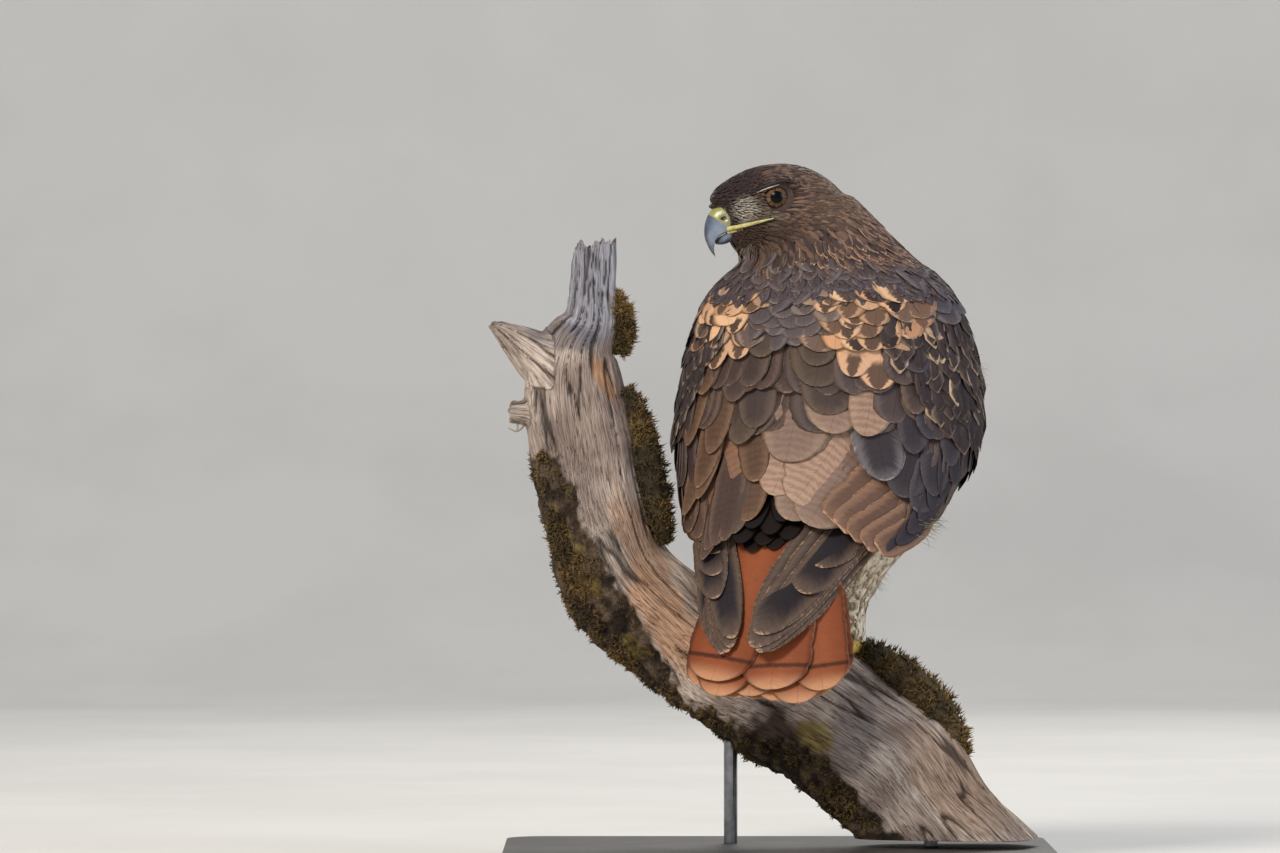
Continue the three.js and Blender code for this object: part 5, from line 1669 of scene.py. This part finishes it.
def below_line(points, line, soft, ragged):
    """1 where the photograph shows points below a line of pixels, with an uneven border."""
    x, y = picture_place(points)
    line = np.array(line, float)
    gap = y - np.interp(x, line[:, 0], line[:, 1]) + ragged
    return smooth_step(-soft, soft, gap)


# Stains of the limb, and patches of painted shade and shadow on it: pixel x and y, half width, half
# height, lean in degrees, tone, share
LIMB_STAINS_AND_SHADE = [
    (594, 300, 40, 60, 0, (182, 184, 196), 0.9), (600, 420, 50, 70, 20, (152, 134, 124), 0.7),
    (668, 640, 24, 66, -30, (206, 166, 136), 0.95), (640, 560, 18, 60, -24, (196, 160, 134), 0.7),
    (602, 392, 8, 26, -28, (196, 150, 112), 0.8), (856, 752, 26, 44, 10, (140, 130, 124), 0.85),
    # (775, 770) is painted shadow in a hollow of the bark
    (816, 756, 20, 18, 0, (138, 120, 52), 0.8), (775, 770, 24, 44, 0, (58, 40, 30), 0.9),
    # (700, 560) is painted shadow of the bird on the wood
    (960, 800, 70, 36, 40, (160, 134, 112), 0.7), (700, 560, 20, 40, 0, (110, 110, 116), 0.5),
    # (560, 350) is painted shade on the top of the left prong, which faces away from the light
    (560, 350, 40, 14, 10, (112, 108, 116), 0.6),
]
# Where dark mossy bark begins, in pixels
BARK_LINE = [
    (540, 470), (566, 500), (600, 572), (650, 655), (684, 716), (740, 748), (830, 778),
    (900, 850), (940, 900),
]
# A scar in the bark where wood shows: pixel x and y, half width and height
SCAR = (856, 756, 24, 42)
# Insides of the broken top: share of its width and how far down
SNAG_INSIDE = [(0.8, 1.5), (0.6, 7), (0.2, 8)]
SNAG_RIM = 5


def scar_reach(points, grow=0):
    """How far from the scar points are seen: 1 at its edge."""
    x, y = picture_place(points)
    return np.hypot((x - SCAR[0]) / (SCAR[2] + grow), (y - SCAR[1]) / (SCAR[3] + grow))


def snag_jag(angle):
    """Splinters of the broken top: a high side to the right and deep notches."""
    teeth = 0.5 * np.sin(5 * angle + 0.6) + 0.35 * np.sin(11 * angle + 2.1) + 0.25 * np.sin(17 * angle)
    return SNAG_RIM * (teeth + 0.7 * np.sin(angle - 0.4))


def broken_top(rings):
    """Carries a tube's rings on over its broken end and a little way down inside it."""
    angle = around(rings.shape[1])
    up = np.array([0, 0, 1.0])
    rings = rings.copy()
    for back in range(1, 7):
        rings[-back] += up * (snag_jag(angle) * (1 - (back - 1) / 6))[:, None]
    middle = rings[-1].mean(0)
    inner = [middle + (rings[-1] - middle) * share - up * drop for share, drop in SNAG_INSIDE]
    return np.concatenate([rings, np.array(inner)])


LIMB_VOXEL = 1.5


def limb():
    trunk = broken_top(limb_rings(LIMB, 240, 96, LIMB_FLATNESS, gnarl))
    parts = [trunk, limb_rings(SPUR, 40, 40), limb_rings(STUB, 30, 40)]
    thing = fused("limb", parts, LIMB_VOXEL, 3)
    points, normals = mesh_arrays(thing)
    grain, _ = grain_of(points, LIMB, 40, 0)
    for rows, offset in ((SPUR, 900), (STUB, 1200)):
        own, out = grain_of(points, rows, 14, offset)
        share = smooth_step(1.5, 1.1, out) * smooth_step(-158, -168, points[:, 0])
        grain = np.where(share[:, None] > 0.5, own, grain)
    swirl = lattice(points / 45, 1)[:, None] * np.array([3.0, 3.0, 0])
    g = grain + swirl
    bark = below_line(points, BARK_LINE, 5, 12 * lattice(points / 16, 4) + 8 * lattice(points / 6, 5))
    crack = lattice(g / [9, 9, 110], 2) + 0.3 * lattice(g / [4, 4, 40], 3)
    groove = np.exp(-(crack / 0.085) ** 2)
    fibre = lattice(g / [3, 3, 34], 6)
    fine = lattice(g / [1.9, 1.9, 15], 7)
    broad = lattice(g / [22, 22, 70], 8)
    plates = lattice(points / [7, 7, 9], 9)
    crumbs = lattice(points / 3.2, 10)
    bare_height = 0.55 * fibre + 0.25 * fine - 2.4 * groove + 1.2 * broad
    bark_height = 1.9 * plates + 1.1 * crumbs + 1.2 * broad
    flat = smooth_step(CUT_HEIGHT, CUT_HEIGHT + 5, points[:, 2])
    height = mix(bare_height, bark_height, bark) * flat
    points = points + normals * height[:, None]
    points[:, 2] = np.maximum(points[:, 2], CUT_HEIGHT)
    move_points(thing, points)
    drift = smooth_step(-0.6, 0.6, lattice(points / 20, 11))[:, None]
    tone = mix(rgb(166, 150, 140), rgb(214, 198, 184), drift)
    x, y = picture_place(points)
    ragged = 0.25 * lattice(points / 9, 12)
    # Stains, and patches of painted shade and shadow, laid over the tone
    for px, py, wide, high, lean, stain_or_shade_tone, most in LIMB_STAINS_AND_SHADE:
        s, c = math.sin(math.radians(lean)), math.cos(math.radians(lean))
        dx, dy = x - px, y - py
        reach = np.hypot((dx * c + dy * s) / wide, (dy * c - dx * s) / high) + ragged
        tone = mix(tone, rgb(*stain_or_shade_tone), (most * smooth_step(1.3, 0.7, reach))[:, None])
    crust = mix(rgb(58, 47, 39), rgb(104, 88, 72), smooth_step(-0.3, 0.9, plates + 0.5 * crumbs)[:, None])
    lichen = smooth_step(0.45, 0.8, lattice(points / 11, 13))[:, None]
    crust = mix(crust, rgb(128, 112, 62), lichen * 0.6)
    scar = smooth_step(1.2, 0.8, scar_reach(points))
    tone = mix(tone, crust, (bark * (1 - scar))[:, None])
    # Darker in the grooves of the bare wood and between low bark plates: partly the dark of open cracks,
    # partly painted shade in the recesses
    recess_shade = smooth_step(0.1, 0.9, groove) * (1 - bark) + smooth_step(-0.2, -1.0, plates) * bark
    tone = mix(tone, tone * 0.18, recess_shade[:, None] * 0.92)
    tone = tone * (1 + 0.16 * fibre * (1 - bark))[:, None]
    put_layer(thing, "tone", np.column_stack([np.clip(tone, 0.004, 1), bark]))
    put_layer(thing, "grain", g)
    parts = ["perch_lower", "perch_bend", "perch_trunk_low", "perch_trunk_high", "perch_snag"]
    dress(thing, wood_material(), "dead_wood", *parts, "perch_spur", "perch_stub")
    return points, normals, bark


def wood_material():
    """Weathered wood: fibres and hair cracks along the grain, crumbs where bark is left."""
    n = Nodes("dead_wood")
    tone = n.attribute("tone", "Color")
    bark = n.attribute("tone", "Alpha")
    x, y, z = n.split("grain")
    long = n.noise(n.join(x, y, z * 0.07), 1.1, 5.0, 0.62)
    hair = n.noise(n.join(x, y, z * 0.04), 0.45, 3.0, 0.5)
    lines = n.ramp(abs(hair - 0.5), 0.0, 0.022)
    crumbs = n.cloud(420, 4.0, 0.6)
    relief = n.mix(bark, long, crumbs)
    shade = n.mix(n.ramp(relief, 0.36, 0.64), n.times(tone, (0.55, 0.5, 0.47)), tone)
    dark = (1.0 - lines) * (0.8 - bark * 0.8)
    shade = n.mix(dark, shade, n.times(tone, (0.2, 0.16, 0.14)))
    return n.finish(shade, 0.9, relief + lines * 0.4, 0.9, 1.6, Specular_IOR_Level=0.25)


limb_points, limb_normals, limb_bark = limb()


def twiglets():
    """Two thin curled twigs under the stub."""
    rows = [
        [[-192, 31, 326, 1.0], [-191, 29, 321, 0.8], [-192, 28, 317, 0.5]],
        [[-186, 32, 327, 1.0], [-187, 30, 321, 0.9], [-192, 28, 317.5, 0.7], [-198, 27, 320, 0.4]],
    ]
    points, faces = join([closed_tube(limb_rings(row, 24, 10)) for row in rows])
    tone = np.tile([*rgb(74, 60, 52), 0.0], (len(points), 1))
    thing = make_mesh("twiglets", points, faces, {"tone": tone, "grain": points * 1.0})
    dress(thing, bpy.data.materials["dead_wood"], "dead_wood")


twiglets()

# Moss

MOSS_BED_LUMPS = 2.6
SPRIG_SPIKES = 5
BED_TUFTS, CRUST_TUFTS = 900, 2600


def sprigs(root, out, length, spread, tint, spikes=SPRIG_SPIKES):
    """Tufts of bent, tapered spikes: points, faces and their tones."""
    root, out, length, tint = (np.repeat(v, spikes, 0) for v in (root, out, length, tint))
    count = len(root)
    way = unit(out + rng.normal(size=(count, 3)) * spread)
    side = unit(np.cross(way, rng.normal(size=(count, 3))))
    third = np.cross(way, side)
    length = (length * rng.uniform(0.6, 1.15, count))[:, None]
    bend = rng.normal(size=(count, 3)) * 0.25 * length + np.array([0, 0, 0.15]) * length
    width = 0.16 * np.sqrt(length)
    turns = np.arange(3) * 2 * math.pi / 3
    ring = np.cos(turns)[None, :, None] * side[:, None] + np.sin(turns)[None, :, None] * third[:, None]
    base = (root - way * 1.0)[:, None] + ring * width[:, None] * 0.8
    belly = (root + way * length * 0.55 + bend * 0.3)[:, None] + ring * width[:, None] * 1.3
    tip = (root + way * length + bend)[:, None]
    points = np.concatenate([base, belly, tip], 1).reshape(-1, 3)
    faces = [[0, 2, 1], [6, 3, 4], [6, 4, 5], [6, 5, 3]]
    for j in range(3):
        k = (j + 1) % 3
        faces += [[j, k, 3 + k], [j, 3 + k, 3 + j]]
    faces = (np.array(faces)[None] + np.arange(count)[:, None, None] * 7).reshape(-1, 3)
    # Each spike darker at its base and paler at its tip: partly the moss's own paler ends, partly painted
    # shade down in the tuft
    light = np.array([0.35] * 3 + [0.85] * 3 + [1.5])
    tone = (tint[:, None] * light[None, :, None] * rng.uniform(0.8, 1.2, (count, 1, 1))).reshape(-1, 3)
    return points, faces, tone


def moss_tint(points):
    """Olive to rusty brown, in drifts."""
    drift = smooth_step(-0.5, 0.7, lattice(points / 12, 21) + rng.normal(size=len(points)) * 0.3)[:, None]
    return mix(rgb(84, 70, 42), rgb(136, 108, 62), drift)


def moss_piece(name, material, bed, tufts, *nodes):
    points, faces, tone = tufts
    groups = [faces]
    if bed is not None:
        bed_points, bed_faces = bed
        points = np.concatenate([bed_points, points])
        groups = [bed_faces[0], bed_faces[1], faces + len(bed_points)]
        # Painted shade: the bed under the tufts at four tenths of their tint
        tone = np.concatenate([moss_tint(bed_points) * 0.4, tone])
    layers = {"tone": np.column_stack([tone, np.ones(len(tone))])}
    thing = make_mesh(name, points, groups, layers, unwrap(points))
    dress(thing, material, "moss", *nodes)


def moss():
    material = toned_material("moss_tufts", 500, 3.0, (0.6, 0.6, 0.55), 0.4)
    for name, rows in MOSS.items():
        rings = limb_rings(rows, 70, 56)
        middle = rings.mean(1, keepdims=True)
        lumps = lattice(rings / 6.5, 22) + 0.5 * lattice(rings / 3, 23)
        rings = middle + (rings - middle) * (0.74 + MOSS_BED_LUMPS / 16 * lumps)[..., None]
        bed = closed_tube(rings)
        i, j = rng.integers(1, 69, BED_TUFTS), rng.integers(0, 56, BED_TUFTS)
        root = rings[i, j] + rng.normal(size=(BED_TUFTS, 3)) * 0.6
        out = unit(root - middle[i, 0])
        tufts = sprigs(root, out, rng.uniform(2.5, 6.0, BED_TUFTS), 0.45, moss_tint(root))
        moss_piece("moss_" + name, material, bed, tufts, "perch_moss_" + name)
    patches = lattice(limb_points / 13, 24) + 0.6 * lattice(limb_points / 5, 25)
    shaded = (limb_bark > 0.6) & (patches > 0.12) & (limb_points[:, 2] > CUT_HEIGHT + 8)
    where = np.flatnonzero(shaded & (scar_reach(limb_points, 2) >= 1))
    pick = rng.choice(where, CRUST_TUFTS, replace=False)
    root, out = limb_points[pick], limb_normals[pick]
    tufts = sprigs(root, out, rng.uniform(1.6, 4.2, len(pick)), 0.5, moss_tint(root), 4)
    moss_piece("moss_crust", material, None, tufts)


moss()

# Feet and claws


def own_copy(name):
    """A node's own mesh in the frame's place, as an object that can be worked on."""
    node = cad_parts[name]
    thing = bpy.data.objects.new(name + "_fine", node.data.copy())
    thing.data.transform(node.matrix_world)
    return link(thing)


FOOT_VOXEL, CLAW_VOXEL = 0.9, 0.5
SCALE_SIZE, SCALE_HEIGHT = 1.7, 0.32


def foot(name, material):
    """A foot with rounded toes and small scales raised on its skin."""
    thing = rounded(own_copy(name), FOOT_VOXEL, 4)
    points, normals = mesh_arrays(thing)
    scales = smooth_step(-0.15, 0.35, np.abs(lattice(points / SCALE_SIZE, 31)) - 0.12)
    points = points + normals * (SCALE_HEIGHT * scales)[:, None]
    move_points(thing, points)
    put_layer(thing, "lay", scales)
    dress(thing, material, "foot", name)


def foot_material():
    n = Nodes("foot_scales")
    raised = n.split("lay")[0]
    cloud = n.cloud(160, 4.0)
    skin = n.mix(cloud, colour(206, 178, 88), colour(176, 144, 62))
    shade = n.mix(n.ramp(raised, 0.1, 0.6), n.times(skin, (0.5, 0.44, 0.36)), skin)
    return n.finish(shade, 0.5, cloud, 0.3, 0.3)


def claw(name, material):
    thing = rounded(own_copy(name), CLAW_VOXEL, 3)
    shade_smooth(thing)
    dress(thing, material, "claw", name)


bpy.context.view_layer.update()
scaly = foot_material()
horn = plain_material("claw_horn", colour(24, 22, 24), colour(48, 44, 46), 120, 0.3, 0.1, Coat_Weight=0.3)
for side in ("left", "right"):
    foot("foot_" + side, scaly)
    for toe in ("inner", "middle", "outer", "hind"):
        claw("claw_%s_%s" % (side, toe), horn)

# Stand

BOARD_BEVEL = 1.2


def board():
    """The stand's base with its edges broken."""
    thing = own_copy("stand_base")
    bevel = thing.modifiers.new("edges", "BEVEL")
    bevel.width = BOARD_BEVEL * MM
    bevel.segments = 3
    bevel.limit_method = "ANGLE"
    apply_modifiers(thing)
    material = plain_material("board_paint", colour(52, 50, 48), colour(66, 62, 58), 30, 0.5, 0.1)
    dress(thing, material, "stand_board", "stand_base")


board()
steel = plain_material(
    "brushed_steel", colour(150, 150, 152), colour(120, 121, 124), 80, 0.3, 0.1, Metallic=1.0)
for side in ("left", "right"):
    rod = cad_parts["stand_rod_" + side].data
    rod.materials.clear()
    rod.materials.append(steel)


# Loose filaments

# Where they grow: pixel x and y, half width and height of the spot, way to the right and up, count
WISPS = [
    (934, 545, 14, 12, 1.0, -0.3, 70), (884, 598, 8, 12, 0.7, -1.0, 30), (990, 385, 4, 16, 1.0, 0.1, 26),
    (748, 260, 8, 5, -0.5, -1.0, 30),
]


def wisps():
    coat = Coat()
    t = np.linspace(0, 1, 6)
    taper = np.array([1, 0.9, 0.75, 0.55, 0.35, 0.1])
    for x, y, wide, high, right, up, count in WISPS:
        for _ in range(count):
            root = seen_at(x + rng.normal() * wide * 0.6, y + rng.normal() * high * 0.6)
            way = unit(np.array([right, -0.1, up]) + rng.normal(size=3) * 0.35)
            bend = rng.normal(size=3) * 2.5
            size = rng.uniform(5, 13)
            line = root + way * (t[:, None] * size - 1.5) + bend * t[:, None] ** 2
            tone = (*rgb(196, 178, 152) * rng.uniform(0.4, 1.0), 0.0)
            normal = np.tile([0, -1.0, 0.1], (len(t), 1))
            coat.add(line, normal, 0.14, tone, (*tone[:3], 0.0), t, widths=taper, thickness=0.2)
    coat.make("wisps", bpy.data.materials["small_feathers"], "plumage_breast")


wisps()

# Flanks

FLANK_LOW, FLANK_HIGH, FLANK_TURN = 206, 284, 128
FLANK_SPACING, FLANK_LENGTH, FLANK_TRIES = 4.2, 22, 12000


def flank_spacing(points):
    z = points[:, 2]
    inside = (z > FLANK_LOW) & (z < FLANK_HIGH) & (np.abs(body_angle(points)) < FLANK_TURN)
    return np.where(inside, FLANK_SPACING, 0)


def flanks():
    """Soft feathers on the thighs and flanks, under the wings' edges."""
    roots = scatter(flank_spacing, FLANK_TRIES, flesh_points, flesh_corners)
    ways = flow(roots) + rng.normal(size=(len(roots), 3)) * 0.1
    length = FLANK_LENGTH * rng.uniform(0.85, 1.2, len(roots))
    lifts = np.array([-3.4, 0.2, 0.9, 1.4, 1.8])
    line, normal = walk(roots, ways, length, 4, lifts, flesh_surface)
    tone, rim = tint_small(roots)
    coat = Coat()
    coat.add(line, normal, length * 0.2, tone, rim, SMALL_STATIONS, thickness=0.25, curl=30.0,
             roll=rng.normal(size=len(roots)) * SMALL_ROLL)
    coat.make("feathers_flanks", bpy.data.materials["small_feathers"], "plumage_leg")


flanks()


# Camera, lights and floor


def camera():
    lens = bpy.data.cameras.new("camera")
    lens.lens = LENS
    lens.sensor_width = SENSOR
    lens.clip_end = 50
    eye = link(bpy.data.objects.new("camera", lens))
    distance = VIEW_WIDTH * LENS / SENSOR
    eye.location = Vector((VIEW_AIM[0], VIEW_AIM[1] - distance, VIEW_AIM[2])) * MM
    eye.rotation_euler = (math.radians(90), 0, 0)
    bpy.context.scene.camera = eye
    bpy.context.scene.view_settings.view_transform = "Standard"


def area_light(name, place, aim, size, power, tint):
    data = bpy.data.lights.new(name, "AREA")
    data.shape = "SQUARE"
    data.size = size
    data.energy = power
    data.color = tint
    lamp = link(bpy.data.objects.new(name, data))
    lamp.location = place
    lamp.rotation_euler = (Vector(aim) - Vector(place)).to_track_quat("-Z", "Y").to_euler()


def studio():
    target = (0, 0, 0.33)
    area_light("key", (-1.9, -2.4, 2.6), target, 1.1, 112, (1.0, 0.92, 0.82))
    area_light("fill", (2.6, -1.2, 1.2), target, 1.6, 36, (0.8, 0.88, 1.0))
    area_light("rim", (0.6, 2.2, 2.0), target, 1.2, 24, (1.0, 0.97, 0.92))
    world = bpy.data.worlds.new("studio")
    world.use_nodes = True
    world.node_tree.nodes["Background"].inputs[0].default_value = (0.86, 0.9, 1.0, 1)
    world.node_tree.nodes["Background"].inputs[1].default_value = 0.45
    bpy.context.scene.world = world


def floor():
    """A pale floor that turns up behind the stand into a pale wall."""
    angle = np.linspace(0, math.pi / 2, 24)
    front, reach, radius, top, wide = 6000, 3000, 1200, 4200, 7000
    bend = zip(reach + radius * np.sin(angle), radius * (1 - np.cos(angle)))
    profile = [(-front, 0), *bend, (reach + radius, top)]
    points = np.array([[x, y, z] for y, z in profile for x in (-wide, wide)], float)
    count = len(profile)
    faces = np.array([[2 * i, 2 * i + 1, 2 * i + 3, 2 * i + 2] for i in range(count - 1)])
    thing = make_mesh("floor", points, faces)
    paper = plain_material("floor_paper", colour(226, 224, 218), colour(220, 218, 212), 3, 0.8, 0.02)
    thing.data.materials.append(paper)


camera()
studio()
floor()
